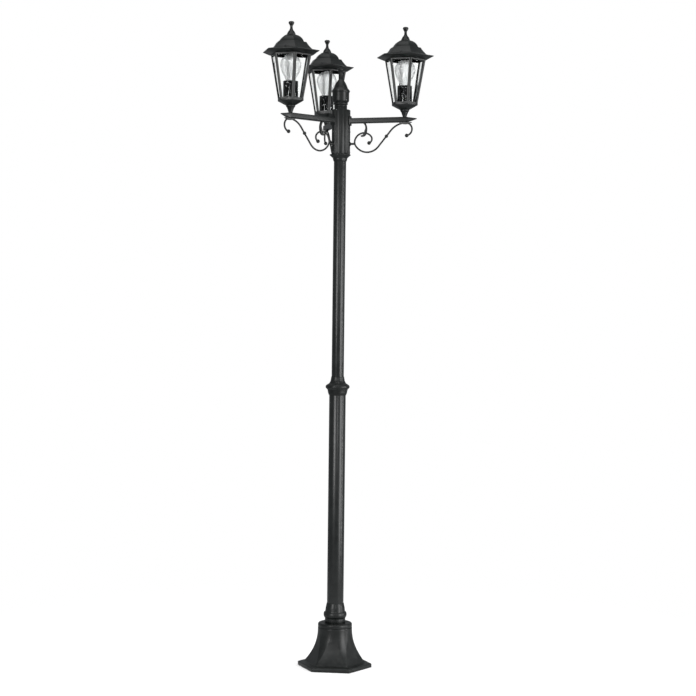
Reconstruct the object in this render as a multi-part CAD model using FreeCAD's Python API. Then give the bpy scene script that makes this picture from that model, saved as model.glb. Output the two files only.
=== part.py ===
"""Triple head garden lamp post in painted cast aluminium, with three six-sided lanterns.

Millimetres, +Z up. The origin is the centre of the base's underside on the ground, and Z is the post's axis.
The front is -Y. Each solid is built at its own level and then lifted to its seat, so a changed size carries
everything above it along.
"""

import FreeCAD, Part
import os
from math import cos, pi, radians, sin, tan

V = FreeCAD.Vector
Z = V(0, 0, 1)

# ---- Fits ----
SLIP = 0.3  # clearance of a part that slides or turns in another
SEAT = 0.1  # clearance of a part that is clamped in another

# ---- Ground plate and tie rod ----
PLATE_RADIUS = 68.0
PLATE_THICKNESS = 5.0
ANCHOR_CIRCLE = 55.0  # radius of the circle of ground bolts
ANCHOR_HOLE_RADIUS = 4.5
ANCHOR_COUNT = 3
CABLE_HOLE_RADIUS = 12.0
CABLE_HOLE_REACH = 34.0
ROD_RADIUS = 4.0
NUT_ACROSS = 13.0
NUT_HEIGHT = 6.5
WASHER_RADIUS = 15.5
WASHER_THICKNESS = 2.5
CONNECTOR_REACH = 22.0
CONNECTOR_WIDTH = 20.0
CONNECTOR_LENGTH = 42.0
CONNECTOR_HEIGHT = 17.0
CONNECTOR_PITCH = 13.0
WELL_RADIUS = 2.6
WELL_DEPTH = 6.0

# ---- Base casting ----
FLANGE_RADIUS = 112.5  # over the rounded corners
FLANGE_FLAT = 97.6  # from the axis to a flat side
FLANGE_EDGE = 9.5  # height of the flange's upright edge
FLANGE_HEIGHT = 15.0
BELL_FLAT_FOOT = 80.0  # flat side of the bell where it leaves the flange
BELL_CORNER_FOOT = 92.5  # corner of the bell where it leaves the flange
BELL_TOP_RADIUS = 51.8
BELL_HEIGHT = 104.0  # from the flange to the groove under the drum
BELL_FLARE_POWER = 2.25
DRUM_RADIUS = 51.6
DRUM_HEIGHT = 14.5
DRUM_ROUNDING = 5.0
GROOVE_DEPTH = 1.6
BASE_WALL = 4.5
BASE_TURN = 10.0  # the base's corners stand turned against the lanterns' corners
SOCKET_DEPTH = 42.0  # how far the lower tube reaches into the base
SOCKET_WALL = 4.0
SOCKET_LEDGE = 4.0
WEB_THICKNESS = 4.0

# ---- Pole ----
LOWER_TUBE_RADIUS = 25.0
LOWER_TUBE_WALL = 2.5
LOWER_TUBE_SHOWN = 630.0
UPPER_TUBE_RADIUS = 18.5
UPPER_TUBE_WALL = 2.0
UPPER_TUBE_SHOWN = 648.5
COLLAR_RADIUS = 31.0
COLLAR_BEAD_RADIUS = 34.8
COLLAR_HEIGHT = 59.0
RING_RADIUS = 36.3
RING_HEIGHT = 56.0
RING_SPIGOT = 60.0  # how far the ring reaches down into the lower tube
RING_SCREW_ANGLE = -102.0
RING_SCREW_LEVEL = 38.5
SET_SCREW_RADIUS = 2.6

# ---- Hub ----
HUB_COLLAR_RADIUS = 31.7
HUB_COLLAR_HEIGHT = 21.0
HUB_RADIUS = 19.4
HUB_HEIGHT = 142.5
HUB_WALL = 3.5
HUB_SPIGOT = 45.0
LOBE_REACH = 29.5  # from the axis to a lobe's outer face
LOBE_WIDTH = 17.0
LOBE_DROP = 8.5  # how far the lobes end below the hub's top
LOBE_ROUNDING = 4.0
LOBE_SCREW_LEVELS = (5.5, 66.5)  # above the hub's foot
LOBE_SCREW_RADIUS = 4.0
LOBE_SCREW_HEAD = 1.8
LOBE_SCREW_SHANK = 2.5
LOBE_SCREW_LENGTH = 7.0
WASHER_SEAT_DEPTH = 20.0  # room for the tie rod's end in the hub's mouth
WASHER_SEAT_FLOOR = 4.0
ROD_ROOM = 6.0  # room for the leads beside the tie rod

# ---- Pole cap ----
CAP_NECK_RADIUS = 18.4
CAP_RADIUS = 25.4
CAP_RIM_RADIUS = 27.5
CAP_HEIGHT = 82.3
CAP_SCREW_LEVEL = 27.0
CAP_SCREW_ANGLE = -60.0
CAP_STEM_RADIUS = 7.7  # of the cap's cone at its top and of the finial's stem
CAP_STEM_HEIGHT = 24.0
CAP_KNOB_RADIUS = 9.2
CAP_KNOB_HEIGHT = 11.0

# ---- Arms ----
ARM_ANGLES = {"right": -30.0, "left": 210.0, "rear": 90.0}
ARM_RISE = 100.0  # from the hub's foot to the arm's centre line
ARM_HEIGHT = 13.5
ARM_WIDTH = 19.0
ARM_ROUNDING = 2.0
ARM_FLANGE_HEIGHT = 25.0
ARM_FLANGE_THICKNESS = 3.0
ARM_TIP_LENGTH = 32.0
ARM_TIP_BEYOND = 37.0  # the tip's reach past the lantern's axis
LANTERN_REACH = 199.6  # from the post's axis to a lantern's axis
WIRE_BORE_RADIUS = 3.5

# ---- Scroll under each arm ----
SCROLL_ROD_RADIUS = 2.6
SCROLL_TOP_OFFSET = 4.0  # its highest point lies this far beyond the lantern's axis
SCROLL_STRAIGHT = 60.5  # straight run in the middle
CURL_RADIUS = 19.0
CURL_TURN = 171.0
SHOULDER_RADIUS = 59.5
SHOULDER_TURN = 51.0
BELLY_RADIUS = 43.9
BELLY_TURN = 108.5
LOOP_SIDE_RADIUS = 19.3
LOOP_SIDE_TURN = 42.8
LOOP_TOP_RADIUS = 29.0
LOOP_TOP_TURN = 130.0
LOOP_END_RADIUS = 12.5
LOOP_END_TURN = 113.0
SCROLL_BALL_RADIUS = 5.6
SCROLL_KNOT_RADIUS = 5.2
SCROLL_KNOT_SHARE = 0.35  # the knot's place on the straight run, from the lantern's side
SCROLL_PIN_DROP = 5.0  # the pin meets the loop this far below its hub side
SCROLL_PIN_LENGTH = 13.0  # from the hub's lobe to the scroll
SCROLL_PIN_RADIUS = 3.2
SCROLL_PIN_DEPTH = 6.0  # how far the pin reaches into the lobe
SCROLL_BOSS_RADIUS = 6.0
SCROLL_BOSS_THICKNESS = 2.6
SADDLE_LENGTH = 42.0
SADDLE_DEPTH = 5.2
SADDLE_WIDTH = 7.0
LEAF_THICKNESS = 7.6

# ---- Lanterns ----
LANTERN_TURN = 30.0  # brings a corner of each lantern over its arm
FOOT_HEIGHT = 22.5
FOOT_NECK_RADIUS = 6.6
FOOT_RADIUS = 13.6
BOWL_HEIGHT = 12.6
BOWL_CORNER = 40.0
BAR_HEIGHT = 8.4
WINDOW_HEIGHT = 122.0
TOP_BAR_HEIGHT = 8.0
CAGE_TOP_CORNER = 63.4
CAGE_WALL = 3.0
POST_FLANK = 6.0  # width of each of a corner post's two sides
BOWL_FLOOR = 9.0
PANE_THICKNESS = 2.5
PANE_LEDGE = 3.0
NIPPLE_RADIUS = 5.0
NIPPLE_BORE = 3.4
NIPPLE_DEPTH = 9.0  # how far the nipple is screwed into the arm

# ---- Roofs ----
BRIM_CORNER = 87.2
BRIM_DROP = 4.4  # the skirt's reach below the cage's top
BRIM_RISE = 5.0  # from the cage's top to the brim's edge
BRIM_EDGE = 1.6
ROOF_WALL = 3.0
ROOF_HEIGHT = 54.5
DOME_CORNER = 64.8  # corner of the dome where it leaves the brim
DOME_FOOT = 11.0
DOME_HOLLOW_LEVEL = 19.2  # where the lower dome curves in between foot and ledge
LEDGE_LEVEL = 32.0
LEDGE_CORNER = 46.8
LEDGE_INNER_CORNER = 39.5
DOME_SHOULDER_LEVEL = 44.0
ROOF_TOP_CORNER = 13.4
ROOF_SCREW_RADIUS = 2.4
ROOF_SCREW_LEVEL = 14.5
FINIAL_BASE_RADIUS = 12.6
FINIAL_CONE_HEIGHT = 17.0
FINIAL_STEM_RADIUS = 3.0
FINIAL_STEM_HEIGHT = 11.6
FINIAL_KNOB_RADIUS = 7.6
FINIAL_KNOB_HEIGHT = 11.0
FINIAL_TAIL_RADIUS = 2.5
FINIAL_TAIL_LENGTH = 8.0

# ---- Lampholders and bulbs ----
SLEEVE_RADIUS = 21.6
SLEEVE_WALL = 1.4
SLEEVE_HEIGHT = 61.5
HOLDER_HEIGHT = 58.0
HOLDER_FLOOR = 30.0  # height of the contact that the bulb's cap stands on
BULB_CAP_RADIUS = 13.2
BULB_CAP_HEIGHT = 26.0
BULB_RADIUS = 30.0
BULB_LENGTH = 108.0  # cap and glass
BULB_GLASS_WALL = 0.8

# ---- Levels that follow from the sizes ----
COS30 = cos(radians(30))
TAN30 = tan(radians(30))
base_top = FLANGE_HEIGHT + BELL_HEIGHT + DRUM_HEIGHT
collar_top = base_top + COLLAR_HEIGHT
ring_foot = collar_top + LOWER_TUBE_SHOWN
ring_top = ring_foot + RING_HEIGHT
hub_collar_foot = ring_top + UPPER_TUBE_SHOWN
hub_foot = hub_collar_foot + HUB_COLLAR_HEIGHT
hub_top = hub_foot + HUB_HEIGHT
washer_level = hub_top - WASHER_SEAT_DEPTH + WASHER_SEAT_FLOOR
cap_top = hub_top + CAP_HEIGHT
arm_level = hub_foot + ARM_RISE
arm_top = arm_level + ARM_HEIGHT / 2
arm_underside = arm_level - ARM_HEIGHT / 2
cage_foot = arm_top + FOOT_HEIGHT
window_foot = cage_foot + BOWL_HEIGHT + BAR_HEIGHT
cage_height = BOWL_HEIGHT + BAR_HEIGHT + WINDOW_HEIGHT + TOP_BAR_HEIGHT
cage_top = cage_foot + cage_height
holder_foot = cage_foot + BOWL_FLOOR
scroll_top_reach = LANTERN_REACH + SCROLL_TOP_OFFSET
scroll_top_level = arm_underside - SCROLL_ROD_RADIUS
scroll_pin_reach = LOBE_REACH + SCROLL_PIN_LENGTH + SCROLL_ROD_RADIUS
cage_slope = (CAGE_TOP_CORNER - BOWL_CORNER) / (WINDOW_HEIGHT + TOP_BAR_HEIGHT)


# ---- Helpers ----
def path_edges(start, steps):
    """Edges in the XZ plane. A step is a line's end (x, z), or an arc's middle and end (xm, zm, x, z)."""
    edges = []
    here = V(start[0], 0, start[1])
    for step in steps:
        there = V(step[-2], 0, step[-1])
        if len(step) == 4:
            edges.append(Part.Arc(here, V(step[0], 0, step[1]), there).toShape())
        else:
            edges.append(Part.makeLine(here, there))
        here = there
    return edges


def turned(start, *steps):
    """Solid of revolution about Z from a closed outline."""
    wire = Part.Wire(path_edges(start, steps + (start,)))
    return Part.Face(wire).revolve(V(0, 0, 0), Z, 360)


def six_sided(edges, reach):
    """Solid with level hexagonal sections, corners at 30 degrees and every 60 on.

    The edges run from the axis out and back to the axis, and give the distance of the flat sides.
    """
    mirrored = [edge.mirror(V(0, 0, 0), V(1, 0, 0)) for edge in edges]
    wire = Part.Wire(Part.sortEdges(edges + mirrored)[0])
    slab = Part.Face(wire).extrude(V(0, 2.4 * reach, 0))
    slab.translate(V(0, -1.2 * reach, 0))
    body = slab
    for angle in (60, 120):
        other = slab.copy()
        other.rotate(V(0, 0, 0), Z, angle)
        body = body.common(other)
    return body


def hexagonal(start, *steps):
    """Six-sided solid from the outline of its flat sides."""
    reach = max(step[-2] for step in steps)
    return six_sided(path_edges(start, steps), reach)


def cylinder(radius, height, level=0.0):
    return Part.makeCylinder(radius, height, V(0, 0, level))


def tube(radius, wall, height, level=0.0):
    return cylinder(radius, height, level).cut(cylinder(radius - wall, height, level))


def hexagon_prism(across, height, level=0.0):
    """Nut body with flat sides at the given distance apart."""
    flat = across / 2
    return hexagonal((0, level), (flat, level), (flat, level + height), (0, level + height))


def block(x0, x1, width, z0, z1):
    """Box from x0 to x1 and z0 to z1, centred on Y."""
    return Part.makeBox(x1 - x0, width, z1 - z0, V(x0, -width / 2, z0))


def lifted(shape, level):
    moved = shape.copy()
    moved.translate(V(0, 0, level))
    return moved


def turned_to(shape, angle):
    moved = shape.copy()
    moved.rotate(V(0, 0, 0), Z, angle)
    return moved


def at_lantern(shape, angle):
    """Carries a shape that is modelled on the Z axis out to the lantern at this angle."""
    moved = turned_to(shape, LANTERN_TURN)
    moved.translate(V(LANTERN_REACH, 0, 0))
    moved.rotate(V(0, 0, 0), Z, angle)
    return moved


def radial_screw(reach, length, radius, head_radius, head_height, level):
    """Dome-headed screw along X; its head starts at the given reach."""
    shank = Part.makeCylinder(radius, length, V(reach - length, 0, level), V(1, 0, 0))
    ball_radius = (head_radius**2 + head_height**2) / (2 * head_height)
    centre = V(reach + head_height - ball_radius, 0, level)
    head = Part.makeSphere(ball_radius, centre)
    head = head.common(Part.makeBox(head_height, 4 * head_radius, 4 * head_radius,
                                    V(reach, -2 * head_radius, level - 2 * head_radius)))
    return shank.fuse(head).removeSplitter()


def export(name, shape):
    shape.exportStep("parts/" + name + ".step")


# ---- Base and pole ----
def flare_curve(foot, top, inset):
    """Curve of the bell's side, steep at the top and flat at the foot."""
    count = 8
    points = []
    for i in range(count + 1):
        share = i / count
        reach = top + (foot - top) * (1 - share) ** BELL_FLARE_POWER - inset
        points.append(V(reach, 0, FLANGE_HEIGHT + BELL_HEIGHT * share))
    curve = Part.BSplineCurve()
    curve.interpolate(points)
    return curve.toShape()


def bell(inset):
    """Bell with hollowed flat sides whose corners fade into a round top."""
    top = FLANGE_HEIGHT + BELL_HEIGHT
    bodies = []
    for foot, six in ((BELL_FLAT_FOOT, True), (BELL_CORNER_FOOT, False)):
        edges = path_edges((0, FLANGE_HEIGHT), [(foot - inset, FLANGE_HEIGHT)])
        edges.append(flare_curve(foot, BELL_TOP_RADIUS, inset))
        edges += path_edges((BELL_TOP_RADIUS - inset, top), [(0, top)])
        if six:
            bodies.append(six_sided(edges, foot))
        else:
            edges += path_edges((0, top), [(0, FLANGE_HEIGHT)])
            bodies.append(Part.Face(Part.Wire(edges)).revolve(V(0, 0, 0), Z, 360))
    return bodies[0].common(bodies[1])


def base_casting():
    flange = hexagonal((0, 0), (FLANGE_FLAT, 0), (FLANGE_FLAT, FLANGE_EDGE),
                       (FLANGE_FLAT - 1.5, FLANGE_EDGE + 2.2, FLANGE_FLAT - 4.5, FLANGE_EDGE + 3),
                       (BELL_FLAT_FOOT, FLANGE_HEIGHT), (0, FLANGE_HEIGHT))
    corner = FLANGE_RADIUS
    flange = flange.common(turned((0, 0), (corner, 0), (corner, FLANGE_EDGE),
                                  (corner - 1.5, FLANGE_EDGE + 2.2, corner - 4.5, FLANGE_EDGE + 3),
                                  (BELL_CORNER_FOOT, FLANGE_HEIGHT), (0, FLANGE_HEIGHT)))
    drum_foot = FLANGE_HEIGHT + BELL_HEIGHT
    rounding = DRUM_ROUNDING
    cut45 = rounding * (1 - cos(pi / 4))
    drum = turned((0, drum_foot), (BELL_TOP_RADIUS - GROOVE_DEPTH, drum_foot),
                  (BELL_TOP_RADIUS - GROOVE_DEPTH, drum_foot + GROOVE_DEPTH),
                  (DRUM_RADIUS, drum_foot + 2 * GROOVE_DEPTH), (DRUM_RADIUS, base_top - rounding),
                  (DRUM_RADIUS - cut45, base_top - cut45, DRUM_RADIUS - rounding, base_top),
                  (0, base_top))
    body = flange.fuse(bell(0)).fuse(drum)
    inside_flat = BELL_FLAT_FOOT - BASE_WALL
    foot_room = hexagonal((0, 0), (inside_flat, 0), (inside_flat, FLANGE_HEIGHT), (0, FLANGE_HEIGHT))
    foot_room = foot_room.common(cylinder(BELL_CORNER_FOOT - BASE_WALL, FLANGE_HEIGHT))
    room = foot_room.fuse(bell(BASE_WALL))
    room = room.fuse(cylinder(BELL_TOP_RADIUS - GROOVE_DEPTH - BASE_WALL, DRUM_HEIGHT - BASE_WALL, drum_foot))
    body = body.cut(room)
    socket_foot = base_top - SOCKET_DEPTH - SOCKET_LEDGE
    socket_radius = LOWER_TUBE_RADIUS + SEAT + SOCKET_WALL
    body = body.fuse(cylinder(socket_radius, SOCKET_DEPTH + SOCKET_LEDGE, socket_foot))
    for k in range(3):
        web = block(0, BELL_CORNER_FOOT, WEB_THICKNESS, socket_foot, base_top - BASE_WALL)
        web = turned_to(web, 60 + 120 * k).common(room)
        body = body.fuse(web)
    body = body.cut(cylinder(LOWER_TUBE_RADIUS + SEAT, SOCKET_DEPTH, base_top - SOCKET_DEPTH))
    body = body.cut(cylinder(LOWER_TUBE_RADIUS - LOWER_TUBE_WALL - SOCKET_LEDGE, SOCKET_LEDGE, socket_foot))
    return turned_to(body.removeSplitter(), BASE_TURN)


def ground_plate():
    plate = cylinder(PLATE_RADIUS, PLATE_THICKNESS).cut(cylinder(ROD_RADIUS, PLATE_THICKNESS))
    for k in range(ANCHOR_COUNT):
        hole = cylinder(ANCHOR_HOLE_RADIUS, PLATE_THICKNESS)
        hole.translate(V(ANCHOR_CIRCLE, 0, 0))
        plate = plate.cut(turned_to(hole, -90 + 360 * k / ANCHOR_COUNT))
    cable_hole = cylinder(CABLE_HOLE_RADIUS, PLATE_THICKNESS)
    cable_hole.translate(V(-CABLE_HOLE_REACH, 0, 0))
    return plate.cut(cable_hole)


def rod_nut(level):
    return hexagon_prism(NUT_ACROSS, NUT_HEIGHT, level).cut(cylinder(ROD_RADIUS, NUT_HEIGHT, level))


def tie_rod_nuts():
    """A nut on the ground plate, and a washer and nut on the hub's top."""
    washer = tube(WASHER_RADIUS, WASHER_RADIUS - ROD_RADIUS, WASHER_THICKNESS, washer_level)
    return Part.makeCompound([rod_nut(PLATE_THICKNESS), washer, rod_nut(washer_level + WASHER_THICKNESS)])


def terminal_block():
    """Three-way connector with its screw wells, on the ground plate."""
    near = CONNECTOR_REACH
    far = near + CONNECTOR_WIDTH
    top = PLATE_THICKNESS + CONNECTOR_HEIGHT
    body = block(near, far, CONNECTOR_LENGTH, PLATE_THICKNESS, top)
    for k in (-1, 0, 1):
        for x in (near + CONNECTOR_WIDTH / 4, far - CONNECTOR_WIDTH / 4):
            seat = V(x, k * CONNECTOR_PITCH, top - WELL_DEPTH)
            body = body.cut(Part.makeCylinder(WELL_RADIUS, WELL_DEPTH, seat))
    return body


def base_collar():
    bore = LOWER_TUBE_RADIUS + SEAT
    foot, bead, top = COLLAR_RADIUS, COLLAR_BEAD_RADIUS, COLLAR_HEIGHT
    body = turned((bore, 0), (foot, 0), (foot, 11), (foot + 0.2, 14, foot + 1.4, 16),
                  (bead, 22, bead - 0.6, 29), (bead - 1.4, 31.5, foot - 0.9, 33), (foot - 2.2, 45),
                  (bore + 2.4, top - 8), (bore + 0.8, top), (bore, top))
    return lifted(body, base_top)


def lower_tube():
    foot = base_top - SOCKET_DEPTH
    return tube(LOWER_TUBE_RADIUS, LOWER_TUBE_WALL, ring_foot - foot, foot)


def mid_ring():
    """Reducing ring: a spigot in the lower tube, a shoulder on its end, and a bore for the upper tube."""
    spigot = LOWER_TUBE_RADIUS - LOWER_TUBE_WALL - SEAT
    bore = UPPER_TUBE_RADIUS + SEAT
    ledge = bore - UPPER_TUBE_WALL - 1.5
    wide, top = RING_RADIUS, RING_HEIGHT
    low = LOWER_TUBE_RADIUS
    body = turned((ledge, -RING_SPIGOT), (spigot, -RING_SPIGOT), (spigot, 0), (low + 0.8, 0),
                  (low + 3.4, 6), (low + 4.3, 11), (low + 5.8, 17.5), (wide - 1.2, 21.5),
                  (wide, 25.5, wide - 1.2, 29.5), (wide - 5, 32.5), (bore + 6.8, 36),
                  (bore + 3, 43), (bore + 0.8, top), (bore, top), (bore, 3 - RING_SPIGOT),
                  (ledge, 3 - RING_SPIGOT))
    return lifted(body.cut(ring_screw_shape().common(cylinder(RING_RADIUS, RING_HEIGHT))), ring_foot)


def ring_screw_shape():
    """Set screw, square to the ring's upper cone, on the ring's own level."""
    screw = radial_screw(UPPER_TUBE_RADIUS + 6.4, 6.2, SET_SCREW_RADIUS, 3.6, 1.6, RING_SCREW_LEVEL)
    return turned_to(screw, RING_SCREW_ANGLE)


def upper_tube():
    foot = ring_foot + 3 - RING_SPIGOT
    return tube(UPPER_TUBE_RADIUS, UPPER_TUBE_WALL, hub_foot - foot, foot)


# ---- Hub and cap ----
def hub_collar():
    bore = UPPER_TUBE_RADIUS + SEAT
    wide, top = HUB_COLLAR_RADIUS, HUB_COLLAR_HEIGHT
    body = turned((bore, 0), (bore + 0.8, 0), (bore + 2.4, 4.5, bore + 3.2, 9), (bore + 5, 11.5),
                  (wide - 2.4, 16.5), (wide, 18.5), (wide, 20), (wide - 1, top), (bore, top))
    return lifted(body, hub_collar_foot)


def hub_screws():
    """The two dome-headed screws in the face of one lobe."""
    screws = [radial_screw(LOBE_REACH, LOBE_SCREW_LENGTH, LOBE_SCREW_SHANK, LOBE_SCREW_RADIUS,
                           LOBE_SCREW_HEAD, level)
              for level in LOBE_SCREW_LEVELS]
    return Part.makeCompound(screws)


def hub_casting():
    core = cylinder(HUB_RADIUS, HUB_HEIGHT)
    lobe_height = HUB_HEIGHT - LOBE_DROP
    lobe = block(0, LOBE_REACH, LOBE_WIDTH, 0, lobe_height)
    outer = [e for e in lobe.Edges if min(v.X for v in e.Vertexes) > 1 and e.Length > 0.9 * lobe_height]
    top = [e for e in lobe.Edges if min(v.X for v in e.Vertexes) > 1 and min(v.Z for v in e.Vertexes) > 1]
    lobe = lobe.makeFillet(LOBE_ROUNDING, outer + top)
    body = core
    for angle in ARM_ANGLES.values():
        body = body.fuse(turned_to(lobe, angle))
    spigot_radius = UPPER_TUBE_RADIUS - UPPER_TUBE_WALL - SEAT
    body = body.fuse(cylinder(spigot_radius, HUB_SPIGOT, -HUB_SPIGOT))
    bore = HUB_RADIUS - HUB_WALL
    body = body.cut(cylinder(bore, HUB_HEIGHT - WASHER_SEAT_DEPTH))
    body = body.cut(cylinder(spigot_radius - HUB_WALL, HUB_SPIGOT, -HUB_SPIGOT))
    body = body.cut(cylinder(ROD_RADIUS + ROD_ROOM, HUB_HEIGHT))
    body = body.cut(cylinder(bore, hub_top - washer_level, washer_level - hub_foot))
    for angle in ARM_ANGLES.values():
        body = body.cut(turned_to(hub_screws(), angle))
        wire_way = Part.makeCylinder(WIRE_BORE_RADIUS, LOBE_REACH, V(0, 0, ARM_RISE), V(1, 0, 0))
        body = body.cut(turned_to(wire_way, angle))
        seat = V(LOBE_REACH - SCROLL_PIN_DEPTH, 0, scroll_pin_level - hub_foot)
        pin_hole = Part.makeCylinder(SCROLL_PIN_RADIUS, SCROLL_PIN_DEPTH, seat, V(1, 0, 0))
        body = body.cut(turned_to(pin_hole, angle))
    return lifted(body.removeSplitter(), hub_foot)


def pole_cap():
    """Turned cap with a spigot in the hub's mouth."""
    neck, drum, rim, top = CAP_NECK_RADIUS, CAP_RADIUS, CAP_RIM_RADIUS, CAP_HEIGHT
    spigot = HUB_RADIUS - HUB_WALL - SEAT
    body = turned((0, 3), (spigot - 3, 3), (spigot - 3, -6), (spigot, -6), (spigot, 0), (neck, 0),
                  (neck + 1.2, 2.5, neck + 0.2, 5), (neck + 2, 6.5), (neck + 3.4, 9.5, neck + 2.2, 12.5),
                  (neck + 4.6, 14.5), (drum - 0.9, 16.5), (drum, 18.5), (drum, 42), (rim, 46.5), (rim, 48.5),
                  (rim - 2, 50.5), (neck + 2.2, 57.5), (neck - 2.6, 69, CAP_STEM_RADIUS + 0.8, top - 1.5),
                  (CAP_STEM_RADIUS, top), (0, top))
    return lifted(body.cut(turned_to(cap_screw_shape(), CAP_SCREW_ANGLE)), hub_top)


def cap_screw_shape():
    return radial_screw(CAP_RADIUS, 8, SET_SCREW_RADIUS, 3.2, 1.6, CAP_SCREW_LEVEL)


def knob_steps(foot, stem, radius, height):
    """Outline of a flattened knob on a stem, from the stem's end to the axis."""
    middle = foot + 0.45 * height
    return [(stem, foot), (radius - 1.2, foot + 0.14 * height, radius, middle),
            (radius - 1.4, foot + 0.86 * height, radius - 4.2, foot + height), (0, foot + height)]


def pole_finial():
    """Stem and knob on the cap."""
    stem, height = CAP_STEM_RADIUS, CAP_STEM_HEIGHT
    body = turned((0, 0), (stem, 0), (stem - 0.5, 2), (stem - 0.5, height - 3), (stem + 0.3, height - 1.5),
                  *knob_steps(height, stem - 1, CAP_KNOB_RADIUS, CAP_KNOB_HEIGHT))
    return lifted(body, cap_top)


# ---- Scroll ----
def scroll_run():
    """Centre line of the scroll in the arm's plane, as tangent arcs and one straight run.

    The chain starts at its highest point, where it lies against the arm, and runs to its inner end's ball.
    It is drawn with the named radii, and the whole is then sized so that its loop just reaches the pin.
    """
    steps = [(SHOULDER_RADIUS, SHOULDER_TURN), None, (BELLY_RADIUS, -BELLY_TURN),
             (LOOP_SIDE_RADIUS, -LOOP_SIDE_TURN), (LOOP_TOP_RADIUS, -LOOP_TOP_TURN),
             (LOOP_END_RADIUS, -LOOP_END_TURN)]
    slope = radians(180 + SHOULDER_TURN)
    drawn = []
    x, z, heading = 0.0, 0.0, pi
    nearest = (x, z)
    for step in steps:
        if step is None:
            far = (x + SCROLL_STRAIGHT * cos(slope), z + SCROLL_STRAIGHT * sin(slope))
            drawn.append([(x, z), far])
            x, z = far
            continue
        radius, turn = step
        side = 1 if turn > 0 else -1
        cx = x - side * radius * sin(heading)
        cz = z + side * radius * cos(heading)
        places = []
        for share in (0.5, 1.0):
            h = heading + radians(turn) * share
            places.append((cx + side * radius * sin(h), cz - side * radius * cos(h)))
        end = heading + radians(turn)
        if side < 0 and heading > pi / 2 > end:
            nearest = (cx - radius, cz)
        drawn.append([(x, z)] + places)
        x, z = places[1]
        heading = end
    size = (scroll_top_reach - scroll_pin_reach) / -nearest[0]
    chain = [[(scroll_top_reach + size * px, scroll_top_level + size * pz) for px, pz in run]
             for run in drawn]
    return chain, scroll_top_level + size * nearest[1] - SCROLL_PIN_DROP, size


scroll_chain, scroll_pin_level, scroll_size = scroll_run()


def chain_edges(chain):
    edges = []
    for run in chain:
        step = run[1] if len(run) == 2 else run[1] + run[2]
        edges += path_edges(run[0], [step])
    return edges


def scroll_line():
    """Whole centre line: the outer curl, then the chain that runs inward."""
    top = (scroll_top_reach, scroll_top_level)
    radius = CURL_RADIUS * scroll_size
    points = []
    for share in (1.0, 0.5):
        angle = pi / 2 - radians(CURL_TURN) * share
        points.append((top[0] + radius * cos(angle), top[1] + radius * (sin(angle) - 1)))
    curl = path_edges(points[0], [points[1] + top])
    return points[0], curl + chain_edges(scroll_chain)


def scroll_rod():
    start, edges = scroll_line()
    wire = Part.Wire(edges)
    first = wire.Edges[0]
    direction = first.tangentAt(first.FirstParameter)
    ring = Part.Wire(Part.makeCircle(SCROLL_ROD_RADIUS, V(start[0], 0, start[1]), direction))
    return wire.makePipeShell([ring], True, False)


def scroll():
    """Bent rod with a ball on each end, a knot on its straight run and a stud to the hub."""
    start, _ = scroll_line()
    end = scroll_chain[-1][-1]
    foot, head = scroll_chain[1]
    near, far = 1 - SCROLL_KNOT_SHARE, SCROLL_KNOT_SHARE
    knot = (near * foot[0] + far * head[0], near * foot[1] + far * head[1])
    fittings = []
    for place, radius in ((start, SCROLL_BALL_RADIUS), (end, SCROLL_BALL_RADIUS), (knot, SCROLL_KNOT_RADIUS)):
        fittings.append(Part.makeSphere(radius, V(place[0], 0, place[1]), V(0, 1, 0)))
    seat = V(LOBE_REACH - SCROLL_PIN_DEPTH, 0, scroll_pin_level)
    fittings.append(Part.makeCylinder(SCROLL_PIN_RADIUS, scroll_pin_reach - seat.x, seat, V(1, 0, 0)))
    seat = V(LOBE_REACH, 0, scroll_pin_level)
    fittings.append(Part.makeCylinder(SCROLL_BOSS_RADIUS, SCROLL_BOSS_THICKNESS, seat, V(1, 0, 0)))
    return scroll_rod().multiFuse(fittings)


def loop_top():
    """Highest point of the scroll's inner loop."""
    start, middle, end = scroll_chain[4]
    circle = path_edges(start, [middle + end])[0].Curve
    return circle.Center.x, circle.Center.z + circle.Radius


def scroll_leaf(rod):
    """Leaf bracket from the arm's underside that clasps the top of the scroll's loop."""
    x, z = loop_top()
    x += 4.0
    drop = arm_underside - z
    edges = path_edges((x - 10, z + drop),
                       [(x + 0.5, z + drop * 0.62, x - 2, z + 6), (x - 4, z - 2, x - 13, z - 7.5),
                        (x - 12.5, z - 11, x - 9, z - 11.5), (x + 1, z - 7, x + 4, z + 1),
                        (x + 5.4, z + drop * 0.45, x, z + drop), (x - 10, z + drop)])
    leaf = Part.Face(Part.Wire(edges)).extrude(V(0, LEAF_THICKNESS, 0))
    leaf.translate(V(0, -LEAF_THICKNESS / 2, 0))
    return leaf.cut(rod)


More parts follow.
